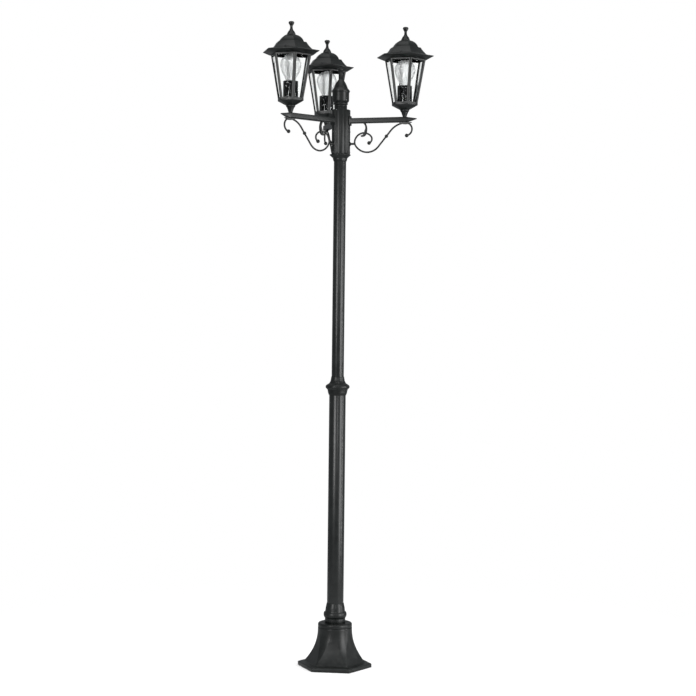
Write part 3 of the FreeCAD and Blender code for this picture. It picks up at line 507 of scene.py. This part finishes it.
# ---------------------------------------------------------------- modelling
class Bench:
    """The modelling moves that the pieces are made with."""

    turned_weld: float = 0.000002
    cast_weld: float = 0.000003
    flat_angle: float = 0.4
    sharp_angle: float = 28.0
    edge_segments: int = 2
    wire_resolution: int = 3
    plain_smooth: float = 32
    cast_smooth: float = 38
    bar_smooth: float = 45
    thread_smooth: float = 50
    blown_smooth: float = 60

    @staticmethod
    def take(piece: bpy.types.Object) -> None:
        """Selects one piece alone.

        Args:
            piece: The piece.
        """
        bpy.ops.object.select_all(action="DESELECT")
        piece.select_set(True)
        bpy.context.view_layer.objects.active = piece

    @staticmethod
    def copy(source: bpy.types.Object, name: str, move: Matrix = Matrix()) -> bpy.types.Object:
        """Copies a shape with a mesh of its own.

        Args:
            source: What to copy.
            name: The copy's name.
            move: Where the copy goes.

        Returns:
            The copy.
        """
        piece = bpy.data.objects.new(name, source.data.copy())
        bpy.context.scene.collection.objects.link(piece)
        piece.data.transform(move)
        return piece

    @staticmethod
    def turn(name: str, outline: list[Point], sides: int, centre: Point = (0, 0)) -> bpy.types.Object:
        """Raises a ring along an outline, as on a lathe.

        Args:
            name: The piece's name.
            outline: Radius and height of each ring, from the foot up.
            sides: Corners of the ring.
            centre: The axis.

        Returns:
            The closed shape.
        """
        bpy.ops.object.select_all(action="DESELECT")
        radius, level = outline[0]
        bpy.ops.mesh.primitive_circle_add(vertices=sides, radius=radius, fill_type="NGON",
                                          location=(*centre, level))
        piece = bpy.context.active_object
        piece.name = name
        bpy.ops.object.transform_apply(location=True, rotation=True, scale=True)
        bpy.ops.object.mode_set(mode="EDIT")
        bpy.ops.mesh.select_all(action="SELECT")
        for to_radius, to_level in outline[1:]:
            bpy.ops.mesh.extrude_region_move(TRANSFORM_OT_translate={"value": (0, 0, to_level - level)})
            if to_radius != radius:
                share = to_radius / radius
                bpy.ops.transform.resize(value=(share, share, 1), center_override=(*centre, to_level))
            radius, level = to_radius, to_level
        bpy.ops.mesh.select_all(action="SELECT")
        bpy.ops.mesh.remove_doubles(threshold=Bench.turned_weld)
        bpy.ops.mesh.normals_make_consistent(inside=False)
        bpy.ops.object.mode_set(mode="OBJECT")
        return piece

    @staticmethod
    def recast(node: str, name: str, edge: float) -> bpy.types.Object:
        """Copies a CAD node as a casting with rounded edges.

        Args:
            node: The CAD node.
            name: The piece's name.
            edge: How wide its edges are rounded, or 0 to leave them sharp.

        Returns:
            The casting.
        """
        piece = Bench.copy(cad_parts[node], name)
        Bench.take(piece)
        bpy.ops.mesh.customdata_custom_splitnormals_clear()
        bpy.ops.object.mode_set(mode="EDIT")
        bpy.ops.mesh.select_all(action="SELECT")
        bpy.ops.mesh.remove_doubles(threshold=Bench.cast_weld)
        bpy.ops.mesh.dissolve_limited(angle_limit=radians(Bench.flat_angle))
        bpy.ops.object.mode_set(mode="OBJECT")
        if edge:
            Bench.soften(piece, edge)
        return piece

    @staticmethod
    def soften(piece: bpy.types.Object, edge: float) -> None:
        """Rounds the sharp edges.

        Args:
            piece: The piece.
            edge: Width of the rounding.
        """
        Bench.take(piece)
        bevel = piece.modifiers.new("edge", "BEVEL")
        bevel.width = edge
        bevel.segments = Bench.edge_segments
        bevel.limit_method = "ANGLE"
        bevel.angle_limit = radians(Bench.sharp_angle)
        bevel.use_clamp_overlap = True
        bpy.ops.object.modifier_apply(modifier="edge")

    @staticmethod
    def resize(piece: bpy.types.Object, shares: Triple, centre: Triple) -> None:
        """Resizes a whole piece about a point.

        Args:
            piece: The piece.
            shares: Growth along X, Y and Z.
            centre: The point that stays.
        """
        Bench.take(piece)
        bpy.ops.object.mode_set(mode="EDIT")
        bpy.ops.mesh.select_all(action="SELECT")
        bpy.ops.transform.resize(value=shares, center_override=centre)
        bpy.ops.object.mode_set(mode="OBJECT")

    @staticmethod
    def cut(piece: bpy.types.Object, tool: bpy.types.Object) -> None:
        """Cuts a tool's shape out of a piece and puts the tool away.

        Args:
            piece: What is cut.
            tool: The cutting shape.
        """
        Bench.take(piece)
        boolean = piece.modifiers.new("cut", "BOOLEAN")
        boolean.operation = "DIFFERENCE"
        boolean.object = tool
        boolean.solver = "EXACT"
        bpy.ops.object.modifier_apply(modifier="cut")
        bpy.data.objects.remove(tool)

    @staticmethod
    def box(name: str, size: Triple, centre: Triple) -> bpy.types.Object:
        """Adds a plain box, for cutting with.

        Args:
            name: Its name.
            size: Its three sizes.
            centre: Its middle.

        Returns:
            The box.
        """
        bpy.ops.object.select_all(action="DESELECT")
        bpy.ops.mesh.primitive_cube_add(size=1, location=centre)
        piece = bpy.context.active_object
        piece.name = name
        piece.scale = size
        bpy.ops.object.transform_apply(location=True, rotation=True, scale=True)
        return piece

    @staticmethod
    def wire(name: str, points: list[Vector], radius: float) -> bpy.types.Object:
        """Draws a round wire through points.

        Args:
            name: The piece's name.
            points: Where the wire runs.
            radius: Its radius.

        Returns:
            The wire as a mesh with closed ends.
        """
        curve = bpy.data.curves.new(name, "CURVE")
        curve.dimensions = "3D"
        curve.bevel_depth = radius
        curve.bevel_resolution = Bench.wire_resolution
        curve.use_fill_caps = True
        spline = curve.splines.new("POLY")
        spline.points.add(len(points) - 1)
        for place, point in zip(spline.points, points):
            place.co = (*point, 1)
        holder = bpy.data.objects.new(name, curve)
        bpy.context.scene.collection.objects.link(holder)
        Bench.take(holder)
        bpy.ops.object.convert(target="MESH")
        return bpy.context.active_object

    @staticmethod
    def finish(piece: bpy.types.Object, body: str, finish: Finish, *nodes: str,
               smooth: float = plain_smooth) -> None:
        """Shades and paints a piece, and hangs it on its body.

        Args:
            piece: The piece.
            body: The body that it moves with.
            finish: Its finish.
            nodes: The CAD nodes that it stands for.
            smooth: Edges flatter than this many degrees are shaded smooth.
        """
        Bench.take(piece)
        bpy.ops.object.shade_smooth_by_angle(angle=radians(smooth))
        piece.data.materials.clear()
        piece.data.materials.append(Paintbox.take(finish))
        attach(piece, body)
        if nodes:
            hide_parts(*nodes)
        LOG.info("%s: %d faces on %s", piece.name, len(piece.data.polygons), body)


def placed(angle: float, reach: float, level: float) -> Matrix:
    """Place of something that points along +X, turned about the post by degrees and moved out and up."""
    return Matrix.Rotation(radians(angle), 4, "Z") @ Matrix.Translation((reach, 0, level))


@dataclass
class Screw:
    """Dome-headed screw with a slot, pointing along +X with the head's seat at the origin."""

    head_radius: float
    head_height: float
    shank_radius: float
    shank_length: float
    slot_width: float = 0.0008
    slot_depth: float = 0.0009
    rim: float = 0.0004
    dome_turns: tuple[float, ...] = (0, 0.35, 0.7, 1.05, 1.35)
    sides: int = 32

    def shape(self) -> bpy.types.Object:
        """Turns the screw and cuts its slot.

        Returns:
            The screw.
        """
        h, r = self.head_height, self.head_radius
        dome = [(r * cos(a), self.rim + (h - self.rim) * sin(a)) for a in self.dome_turns]
        outline = [(self.shank_radius, -self.shank_length), (self.shank_radius, 0), (r, 0), *dome, (0, h)]
        piece = Bench.turn("screw_pattern", outline, self.sides)
        slot = Bench.box("slot", (4 * r, self.slot_width, 2 * self.slot_depth), (0, 0, h))
        Bench.cut(piece, slot)
        piece.data.transform(Matrix.Rotation(radians(90), 4, "Y"))
        return piece


# ---------------------------------------------------------------- sub-assemblies
@dataclass
class Base:
    """Foot casting with its plate, tie rod and connector."""

    casting_edge: float = 0.0011
    plate_edge: float = 0.0004
    connector_edge: float = 0.0006
    rod_edge: float = 0.0006
    nut_edge: float = 0.0005
    bell_foot: float = 0.015
    bell_top: float = 0.112
    bell_rounding: float = 0.007
    bell_segments: int = 5
    bell_angle: float = 12.0
    level_slack: float = 0.0005
    least_outward: float = 0.2
    least_slope: float = 0.45

    def bell_edges(self, foot: bpy.types.Object) -> list[int]:
        """Finds the bell's long edges among the selected ones: they face outward and climb.

        Args:
            foot: The foot casting.

        Returns:
            The edges' numbers.
        """
        mesh = foot.data
        chosen = []
        for edge in mesh.edges:
            a, b = (mesh.vertices[k] for k in edge.vertices)
            low, high = sorted((a.co.z, b.co.z))
            outward = all(v.normal.xy.dot(v.co.xy.normalized()) > self.least_outward for v in (a, b))
            climbs = high - low > self.least_slope * (a.co - b.co).length
            on_bell = low > self.bell_foot - self.level_slack and high < self.bell_top
            if edge.select and outward and climbs and on_bell:
                chosen.append(edge.index)
        return chosen

    def round_bell(self, foot: bpy.types.Object) -> None:
        """Rounds the bell's long edges, which fade out towards its round top.

        Args:
            foot: The foot casting.
        """
        Bench.take(foot)
        bpy.ops.object.mode_set(mode="EDIT")
        bpy.ops.mesh.select_mode(type="EDGE")
        bpy.ops.mesh.select_all(action="DESELECT")
        bpy.ops.mesh.edges_select_sharp(sharpness=radians(self.bell_angle))
        bpy.ops.object.mode_set(mode="OBJECT")
        chosen = self.bell_edges(foot)
        LOG.info("bell edges: %d", len(chosen))
        bpy.ops.object.mode_set(mode="EDIT")
        bpy.ops.mesh.select_all(action="DESELECT")
        bpy.ops.object.mode_set(mode="OBJECT")
        for index in chosen:
            foot.data.edges[index].select = True
        bpy.ops.object.mode_set(mode="EDIT")
        bpy.ops.mesh.bevel(offset=self.bell_rounding, segments=self.bell_segments, affect="EDGES",
                           clamp_overlap=True)
        bpy.ops.mesh.select_mode(type="VERT")
        bpy.ops.object.mode_set(mode="OBJECT")

    def build(self) -> None:
        """Casts the foot and dresses what it hides."""
        foot = Bench.recast("base_casting", "foot_casting", 0)
        self.round_bell(foot)
        Bench.soften(foot, self.casting_edge)
        Bench.finish(foot, "post", Finish.PAINT, "base_casting", smooth=Bench.cast_smooth)
        plate = Bench.recast("ground_plate", "foot_plate", self.plate_edge)
        Bench.finish(plate, "post", Finish.ZINC, "ground_plate")
        block = Bench.recast("terminal_block", "supply_connector", self.connector_edge)
        Bench.finish(block, "post", Finish.PLASTIC, "terminal_block")
        rod = Bench.recast("tie_rod", "tie_rod_bar", self.rod_edge)
        Bench.finish(rod, "post", Finish.ZINC, "tie_rod")
        nuts = Bench.recast("tie_rod_nuts", "tie_rod_fixings", self.nut_edge)
        Bench.finish(nuts, "post", Finish.ZINC, "tie_rod_nuts")


@dataclass
class Pole:
    """Collar, lower tube, reducing ring and upper tube."""

    edge: float = 0.0008
    tube_edge: float = 0.0004
    ring_screw: Screw = field(default_factory=lambda: Screw(0.0036, 0.0016, 0.0026, 0.0062))
    ring_screw_angle: float = -102.0
    ring_screw_reach: float = 0.0249

    def build(self) -> None:
        """Dresses the pole from the foot up."""
        for node, name in (("base_collar", "foot_collar"), ("mid_ring", "reducing_ring")):
            Bench.finish(Bench.recast(node, name, self.edge), "post", Finish.PAINT, node,
                         smooth=Bench.cast_smooth)
        for node, name in (("lower_tube", "pole_lower_tube"), ("upper_tube", "pole_upper_tube")):
            Bench.finish(Bench.recast(node, name, self.tube_edge), "post", Finish.TUBE, node)
        low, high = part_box("mid_ring_screw")
        level = (low[2] + high[2]) / 2
        screw = self.ring_screw.shape()
        screw.name = "ring_set_screw"
        screw.data.transform(placed(self.ring_screw_angle, self.ring_screw_reach, level))
        Bench.finish(screw, "post", Finish.SCREW, "mid_ring_screw")


@dataclass
class Hub:
    """Hub casting with its collar, screws, cap and finial."""

    edge: float = 0.0007
    lobe_reach: float = 0.0295
    screw_levels: Point = (0.0055, 0.0665)
    foot: float = 1.548
    screw: Screw = field(default_factory=lambda: Screw(0.004, 0.0018, 0.0025, 0.007))
    cap_screw: Screw = field(default_factory=lambda: Screw(0.0032, 0.0016, 0.0026, 0.008))
    cap_screw_angle: float = -60.0
    cap_screw_reach: float = 0.0254

    def build(self) -> None:
        """Dresses the hub and what stands on it."""
        for node, name in (("hub_collar", "hub_seat_collar"), ("hub_casting", "hub_body"),
                           ("pole_cap", "hub_cap"), ("pole_finial", "hub_cap_finial")):
            Bench.finish(Bench.recast(node, name, self.edge), "post", Finish.PAINT, node,
                         smooth=Bench.cast_smooth)
        pattern = self.screw.shape()
        for side, angle in ARMS.items():
            upper, lower = (Bench.copy(pattern, f"hub_screw_{side}_{k}",
                                       placed(angle, self.lobe_reach, self.foot + self.screw_levels[k]))
                            for k in (1, 0))
            Bench.finish(upper, "post", Finish.SCREW, "hub_screws_" + side)
            Bench.finish(lower, "post", Finish.SCREW)
        bpy.data.objects.remove(pattern)
        low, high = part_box("cap_screw")
        screw = self.cap_screw.shape()
        screw.name = "hub_cap_screw"
        screw.data.transform(placed(self.cap_screw_angle, self.cap_screw_reach, (low[2] + high[2]) / 2))
        Bench.finish(screw, "post", Finish.SCREW, "cap_screw")


@dataclass
class Arm:
    """One arm with its scroll and leaf; the bar grows about its middle to the photographed height."""

    side: str
    bar_growth: float = 1.148
    bar_edge: float = 0.0007
    leaf_edge: float = 0.0008

    def build(self) -> None:
        """Dresses the arm."""
        bar = Bench.recast("arm_" + self.side, "arm_bar_" + self.side, self.bar_edge)
        low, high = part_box("arm_" + self.side)
        Bench.resize(bar, (1, 1, self.bar_growth), (0, 0, (low[2] + high[2]) / 2))
        Bench.finish(bar, "post", Finish.PAINT, "arm_" + self.side, smooth=Bench.cast_smooth)
        rod = Bench.recast("scroll_" + self.side, "scroll_rod_" + self.side, 0)
        Bench.finish(rod, "post", Finish.PAINT, "scroll_" + self.side, smooth=Bench.bar_smooth)
        leaf = Bench.recast("scroll_leaf_" + self.side, "scroll_leaf_casting_" + self.side, self.leaf_edge)
        Bench.finish(leaf, "post", Finish.PAINT, "scroll_leaf_" + self.side, smooth=Bench.bar_smooth)


@dataclass
class Bulb:
    """Round screw-in bulb: glass, stem, wires and screw cap.

    Each profile is radius and height. Throat, shoulder, stem and lead are measured up from the cap's rim,
    and contact, skirt and collar from the cap's foot. The radii of throat, skirt, collar and lip are added
    to the cap's radius.
    """

    side: str
    centre: Point
    foot: float
    cap_height: float = 0.026
    cap_radius: float = 0.0132
    radius: float = 0.030
    length: float = 0.108
    wall: float = 0.0007
    sides: int = 64
    throat: tuple[Point, ...] = ((-0.0006, -0.002), (-0.0002, 0.003), (0.001, 0.009))
    shoulder: tuple[Point, ...] = ((0.0172, 0.0165), (0.0214, 0.0245), (0.0250, 0.0318))
    globe_start: float = -28.0
    globe_steps: int = 18
    stem: tuple[Point, ...] = (
        (0.0095, 0.001), (0.0085, 0.006), (0.0045, 0.013), (0.0030, 0.022), (0.0032, 0.028), (0.0042, 0.030),
        (0.0030, 0.0325), (0.0014, 0.035), (0.0012, 0.044), (0.0020, 0.046), (0.0, 0.0475))
    stem_sides: int = 32
    lead: tuple[Point, ...] = ((0.0022, 0.020), (0.0026, 0.032), (0.0055, 0.040), (0.0105, 0.052))
    lead_radius: float = 0.00032
    coil_turns: int = 24
    coil_steps: int = 240
    coil_radius: float = 0.0005
    coil_sag: float = 0.0028
    coil_bow: float = 2.2
    coil_drop: float = 0.4
    coil_wire: float = 0.00014
    contact: tuple[Point, ...] = ((0.0048, 0.0), (0.0056, 0.0012), (0.0060, 0.0024))
    skirt: Point = (-0.0022, 0.0050)
    collar: Point = (-0.0006, 0.0240)
    lip: tuple[float, ...] = (-0.0004, -0.0014)
    thread_start: float = 0.006
    thread_pitch: float = 0.0055
    thread_depth: float = 0.0010
    thread_turns: int = 3

    @property
    def rim(self) -> float:
        """Height of the cap's rim, where the glass comes out."""
        return self.foot + self.cap_height

    def glass_outline(self) -> list[Point]:
        """Draws the outside of the glass, from the throat to the top.

        Returns:
            Radius and height of each ring.
        """
        middle = self.foot + self.length - self.radius
        points = [(self.cap_radius + growth, self.rim + level) for growth, level in self.throat]
        points += [(radius, self.rim + level) for radius, level in self.shoulder]
        for k in range(self.globe_steps):
            a = radians(self.globe_start + (90 - self.globe_start) * k / self.globe_steps)
            points.append((self.radius * cos(a), middle + self.radius * sin(a)))
        return points + [(0.0, middle + self.radius)]

    def build(self) -> None:
        """Blows the bulb and fits its cap."""
        body = "bulb_" + self.side
        glass = Bench.turn("bulb_envelope_" + self.side, self.glass_outline(), self.sides, self.centre)
        Bench.take(glass)
        bpy.ops.object.mode_set(mode="EDIT")
        bpy.ops.mesh.select_all(action="DESELECT")
        bpy.ops.object.mode_set(mode="OBJECT")
        foot_face = min(glass.data.polygons, key=lambda f: f.center.z)
        foot_face.select = True
        bpy.ops.object.mode_set(mode="EDIT")
        bpy.ops.mesh.delete(type="FACE")
        bpy.ops.object.mode_set(mode="OBJECT")
        wall = glass.modifiers.new("wall", "SOLIDIFY")
        wall.thickness = self.wall
        wall.offset = -1
        Bench.take(glass)
        bpy.ops.object.modifier_apply(modifier="wall")
        Bench.finish(glass, body, Finish.BULB, "bulb_glass_" + self.side, smooth=Bench.blown_smooth)
        self.mount(body)
        self.cap(body)

    def mount(self, body: str) -> None:
        """Makes the glass stem, the lead wires and the coiled filament.

        Args:
            body: The body that they move with.
        """
        x, y = self.centre
        outline = [(radius, self.rim + level) for radius, level in self.stem]
        stem = Bench.turn("bulb_stem_" + self.side, outline, self.stem_sides, self.centre)
        Bench.finish(stem, body, Finish.STEM, smooth=Bench.blown_smooth)
        for sign in (-1, 1):
            path = [Vector((x + sign * out, y, self.rim + level)) for out, level in self.lead]
            lead = Bench.wire(f"bulb_lead_{self.side}_{(sign + 1) // 2}", path, self.lead_radius)
            Bench.finish(lead, body, Finish.WIRE, smooth=Bench.blown_smooth)
        half, top = self.lead[-1]
        coil = []
        for k in range(self.coil_steps + 1):
            share = k / self.coil_steps
            sag = self.coil_sag * (1 - (2 * share - 1) ** 2)
            a = 2 * pi * self.coil_turns * share
            coil.append(Vector((x - half + 2 * half * share,
                                y + self.coil_radius * cos(a) + self.coil_bow * sag,
                                self.rim + top + self.coil_radius * sin(a) - sag * self.coil_drop)))
        filament = Bench.wire("bulb_filament_" + self.side, coil, self.coil_wire)
        Bench.finish(filament, body, Finish.WIRE, smooth=Bench.blown_smooth)

    def cap(self, body: str) -> None:
        """Rolls the screw cap with its thread, insulator and contact.

        Args:
            body: The body that it moves with.
        """
        r, low, depth = self.cap_radius, self.foot, self.thread_depth
        outline = [(radius, low + level) for radius, level in self.contact]
        outline += [(r + self.skirt[0], low + self.skirt[1]), (r - depth, low + self.thread_start)]
        for turn in range(self.thread_turns):
            for share in (0.25, 0.5, 0.75, 1.0):
                wave = 0.5 - 0.5 * cos(2 * pi * share)
                level = low + self.thread_start + self.thread_pitch * (turn + share)
                outline.append((r - depth + depth * wave, level))
        outline.append((r + self.collar[0], low + self.collar[1]))
        outline += [(r + growth, self.rim) for growth in self.lip]
        cap = Bench.turn("bulb_screw_cap_" + self.side, outline, self.sides, self.centre)
        Bench.finish(cap, body, Finish.CAP, "bulb_cap_" + self.side, smooth=Bench.thread_smooth)


@dataclass
class Lantern:
    """One six-sided lantern on its arm."""

    side: str
    angle: float
    reach: float = 0.1996
    foot_edge: float = 0.0006
    cage_edge: float = 0.0005
    pane_edge: float = 0.0003
    nipple_edge: float = 0.0003
    sleeve_edge: float = 0.0004
    holder_edge: float = 0.0005
    roof_edge: float = 0.0007
    roof_screw: Screw = field(default_factory=lambda: Screw(0.0024, 0.0013, 0.0015, 0.0034, 0.0006, 0.0007))
    roof_screw_reach: float = 0.05352
    roof_screw_level: float = 1.84275
    roof_screw_count: int = 3
    roof_screw_turn: float = 30.0
    finial_tail: float = 0.008
    finial_tail_radius: float = 0.0025
    finial_sides: int = 48
    finial_steps: tuple[Point, ...] = (
        (0.0, 0.0129), (0.0026, 0.0129), (0.0034, 0.0122), (0.0070, 0.0108), (0.0104, 0.0086),
        (0.0132, 0.0063), (0.0160, 0.0048), (0.0190, 0.0041), (0.0235, 0.0039), (0.0262, 0.0042),
        (0.0285, 0.0054), (0.0312, 0.0071), (0.0335, 0.0081), (0.0352, 0.0085), (0.0370, 0.0082),
        (0.0386, 0.0068), (0.0394, 0.0044), (0.0396, 0.0))

    @property
    def centre(self) -> Point:
        """The lantern's axis."""
        return self.reach * cos(radians(self.angle)), self.reach * sin(radians(self.angle))

    def build(self) -> None:
        """Dresses the lantern from its foot to its finial."""
        side = self.side
        stem = Bench.recast("lantern_foot_" + side, "lantern_stem_" + side, self.foot_edge)
        Bench.finish(stem, "post", Finish.PAINT, "lantern_foot_" + side, smooth=Bench.cast_smooth)
        cage = Bench.recast("lantern_cage_" + side, "lantern_frame_" + side, self.cage_edge)
        Bench.finish(cage, "post", Finish.PAINT, "lantern_cage_" + side, smooth=Bench.cast_smooth)
        glass = Bench.recast("panes_" + side, "lantern_glass_" + side, self.pane_edge)
        Bench.finish(glass, "post", Finish.PANE, "panes_" + side)
        tube = Bench.recast("nipple_" + side, "lantern_nipple_" + side, self.nipple_edge)
        Bench.finish(tube, "post", Finish.ZINC, "nipple_" + side)
        sleeve = Bench.recast("holder_sleeve_" + side, "holder_shell_" + side, self.sleeve_edge)
        Bench.finish(sleeve, "post", Finish.PLASTIC, "holder_sleeve_" + side)
        holder = Bench.recast("lampholder_" + side, "holder_core_" + side, self.holder_edge)
        Bench.finish(holder, "post", Finish.PLASTIC, "lampholder_" + side)
        self.roof()
        low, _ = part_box("bulb_cap_" + side)
        Bulb(side, self.centre, low[2]).build()

    def roof(self) -> None:
        """Dresses the lift-off roof, its screws and its finial, whose steps are height and radius."""
        side, body = self.side, "roof_" + self.side
        shell = Bench.recast("lantern_roof_" + side, "roof_shell_" + side, self.roof_edge)
        Bench.finish(shell, body, Finish.PAINT, "lantern_roof_" + side, smooth=Bench.cast_smooth)
        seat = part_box("roof_finial_" + side)[0][2] + self.finial_tail
        outline = [(self.finial_tail_radius, seat - self.finial_tail), (self.finial_tail_radius, seat)]
        outline += [(radius, seat + level) for level, radius in self.finial_steps]
        finial = Bench.turn("roof_spire_" + side, outline, self.finial_sides, self.centre)
        Bench.finish(finial, body, Finish.PAINT, "roof_finial_" + side, smooth=Bench.cast_smooth)
        pattern = self.roof_screw.shape()
        middle = Matrix.Translation((*self.centre, 0))
        for k in range(self.roof_screw_count):
            turned = self.angle + self.roof_screw_turn + 360 / self.roof_screw_count * k
            place = middle @ placed(turned, self.roof_screw_reach, self.roof_screw_level)
            screw = Bench.copy(pattern, f"roof_screw_{side}_{k}", place)
            nodes = ("roof_screws_" + side,) if k == 0 else ()
            Bench.finish(screw, body, Finish.SCREW, *nodes)
        bpy.data.objects.remove(pattern)


# ---------------------------------------------------------------- studio
@dataclass(frozen=True)
class Softbox:
    """Soft lamp that stands round the post and faces it."""

    name: str
    bearing: float
    distance: float
    level: float
    size: Point
    power: float
    aim: float

    def hang(self, camera_bearing: float) -> None:
        """Hangs the lamp.

        Args:
            camera_bearing: Direction of the camera from the post in degrees.
        """
        light = bpy.data.lights.new(self.name, "AREA")
        light.shape = "RECTANGLE"
        light.size, light.size_y = self.size
        light.energy = self.power
        lamp = bpy.data.objects.new(self.name, light)
        angle = radians(camera_bearing + self.bearing)
        place = Vector((self.distance * cos(angle), self.distance * sin(angle), self.level))
        lamp.location = place
        lamp.rotation_euler = (Vector((0, 0, self.aim)) - place).to_track_quat("-Z", "Y").to_euler()
        bpy.context.scene.collection.objects.link(lamp)


@dataclass
class Studio:
    """Pale floor, soft light and the camera."""

    camera_place: Vector = field(default_factory=lambda: Vector((-1.0927, -4.8274, 1.0836)))
    camera_turn: float = -12.754
    yaw: float = 0.0061
    pitch: float = -0.0239
    roll: float = 0.0111
    lens: float = 84.78
    sensor: float = 36.0
    floor_reach: float = 1.6
    floor_sides: int = 96
    floor_fade: Point = (0.15, 0.95)
    floor_dark: Triple = (0.88, 0.88, 0.88)
    floor_pale: Triple = (0.90, 0.90, 0.90)
    floor_grain: Grain = Grain(4.0, 3.0, 0.5)
    floor_sheen: float = 0.9
    floor_gleam: float = 0.1
    backdrop_tone: Triple = (1.0, 1.0, 1.0)
    backdrop_light: float = 1.0
    room_tone: Triple = (0.93, 0.97, 1.0)
    room_light: float = 0.26
    lamps: tuple[Softbox, ...] = (
        Softbox("left_box", -33.0, 3.6, 1.45, (0.85, 1.9), 50.0, 1.45),
        Softbox("front_box", 6.0, 5.6, 2.15, (0.6, 0.9), 26.0, 1.6),
        Softbox("right_box", 53.0, 3.5, 0.95, (1.3, 2.9), 75.0, 0.95),
        Softbox("right_strip", 84.0, 3.2, 1.2, (0.3, 3.2), 34.0, 1.2),
        Softbox("top_box", 0.0, 0.8, 5.2, (3.6, 3.6), 45.0, 0.0))

    def build(self) -> None:
        """Sets up the studio."""
        self.floor()
        self.world()
        for lamp in self.lamps:
            lamp.hang(self.camera_turn - 90.0)
        self.camera()

    def floor(self) -> None:
        """Lays the floor, which fades into the backdrop."""
        bpy.ops.object.select_all(action="DESELECT")
        bpy.ops.mesh.primitive_circle_add(vertices=self.floor_sides, radius=self.floor_reach,
                                          fill_type="NGON")
        floor = bpy.context.active_object
        floor.name = "studio_floor"
        sheet = Sheet(bpy.data.materials.new("pale_floor"))
        length = sheet.node("ShaderNodeVectorMath", {"operation": "LENGTH"}, {0: sheet.place})
        away = Value(sheet, length.outputs["Value"])
        faded = away.between(self.floor_fade[0] * self.floor_reach, self.floor_fade[1] * self.floor_reach)
        floor.data.materials.append(sheet.surface(
            Base_Color=sheet.mix(sheet.noise(self.floor_grain), self.floor_dark, self.floor_pale),
            Roughness=self.floor_sheen,
            Specular_IOR_Level=self.floor_gleam,
            Alpha=1.0 - faded))

    def world(self) -> None:
        """Hangs the white backdrop, which is dimmer in every reflection."""
        world = bpy.data.worlds.new("studio")
        bpy.context.scene.world = world
        sheet = Sheet(world)
        white, room = (sheet.node("ShaderNodeBackground", None, {"Color": tone, "Strength": light})
                       for tone, light in ((self.backdrop_tone, self.backdrop_light),
                                           (self.room_tone, self.room_light)))
        bounces = Value(sheet, sheet.node("ShaderNodeLightPath").outputs["Glossy Depth"])
        mirrored = bounces.math("GREATER_THAN", bounces, 0.5)
        blend = sheet.node("ShaderNodeMixShader", None,
                           {0: mirrored, 1: white.outputs[0], 2: room.outputs[0]})
        sheet.node("ShaderNodeOutputWorld", None, {"Surface": blend.outputs[0]})
        bpy.context.scene.view_settings.view_transform = "Standard"

    def camera(self) -> None:
        """Stands the camera where the photograph was taken."""
        ahead = Vector((sin(self.yaw) * cos(self.pitch), cos(self.yaw) * cos(self.pitch), sin(self.pitch)))
        right = Vector((cos(self.yaw), -sin(self.yaw), 0))
        up = right.cross(ahead)
        c, s = cos(self.roll), sin(self.roll)
        right, up = c * right + s * up, -s * right + c * up
        turn = Matrix.Rotation(radians(self.camera_turn), 3, "Z")
        axes = Matrix((turn @ right, turn @ up, turn @ -ahead)).transposed()
        data = bpy.data.cameras.new("camera")
        data.lens = self.lens
        data.sensor_width = self.sensor
        camera = bpy.data.objects.new("camera", data)
        camera.matrix_world = Matrix.Translation(self.camera_place) @ axes.to_4x4()
        bpy.context.scene.collection.objects.link(camera)
        bpy.context.scene.camera = camera


def main() -> None:
    """Builds the studio and every sub-assembly, and notes the sizes."""
    logging.basicConfig(level=logging.INFO, format="%(name)s %(message)s")
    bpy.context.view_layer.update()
    Studio().build()
    Base().build()
    Pole().build()
    Hub().build()
    for side, angle in ARMS.items():
        Arm(side).build()
        Lantern(side, angle).build()


if __name__ == "__main__":
    main()
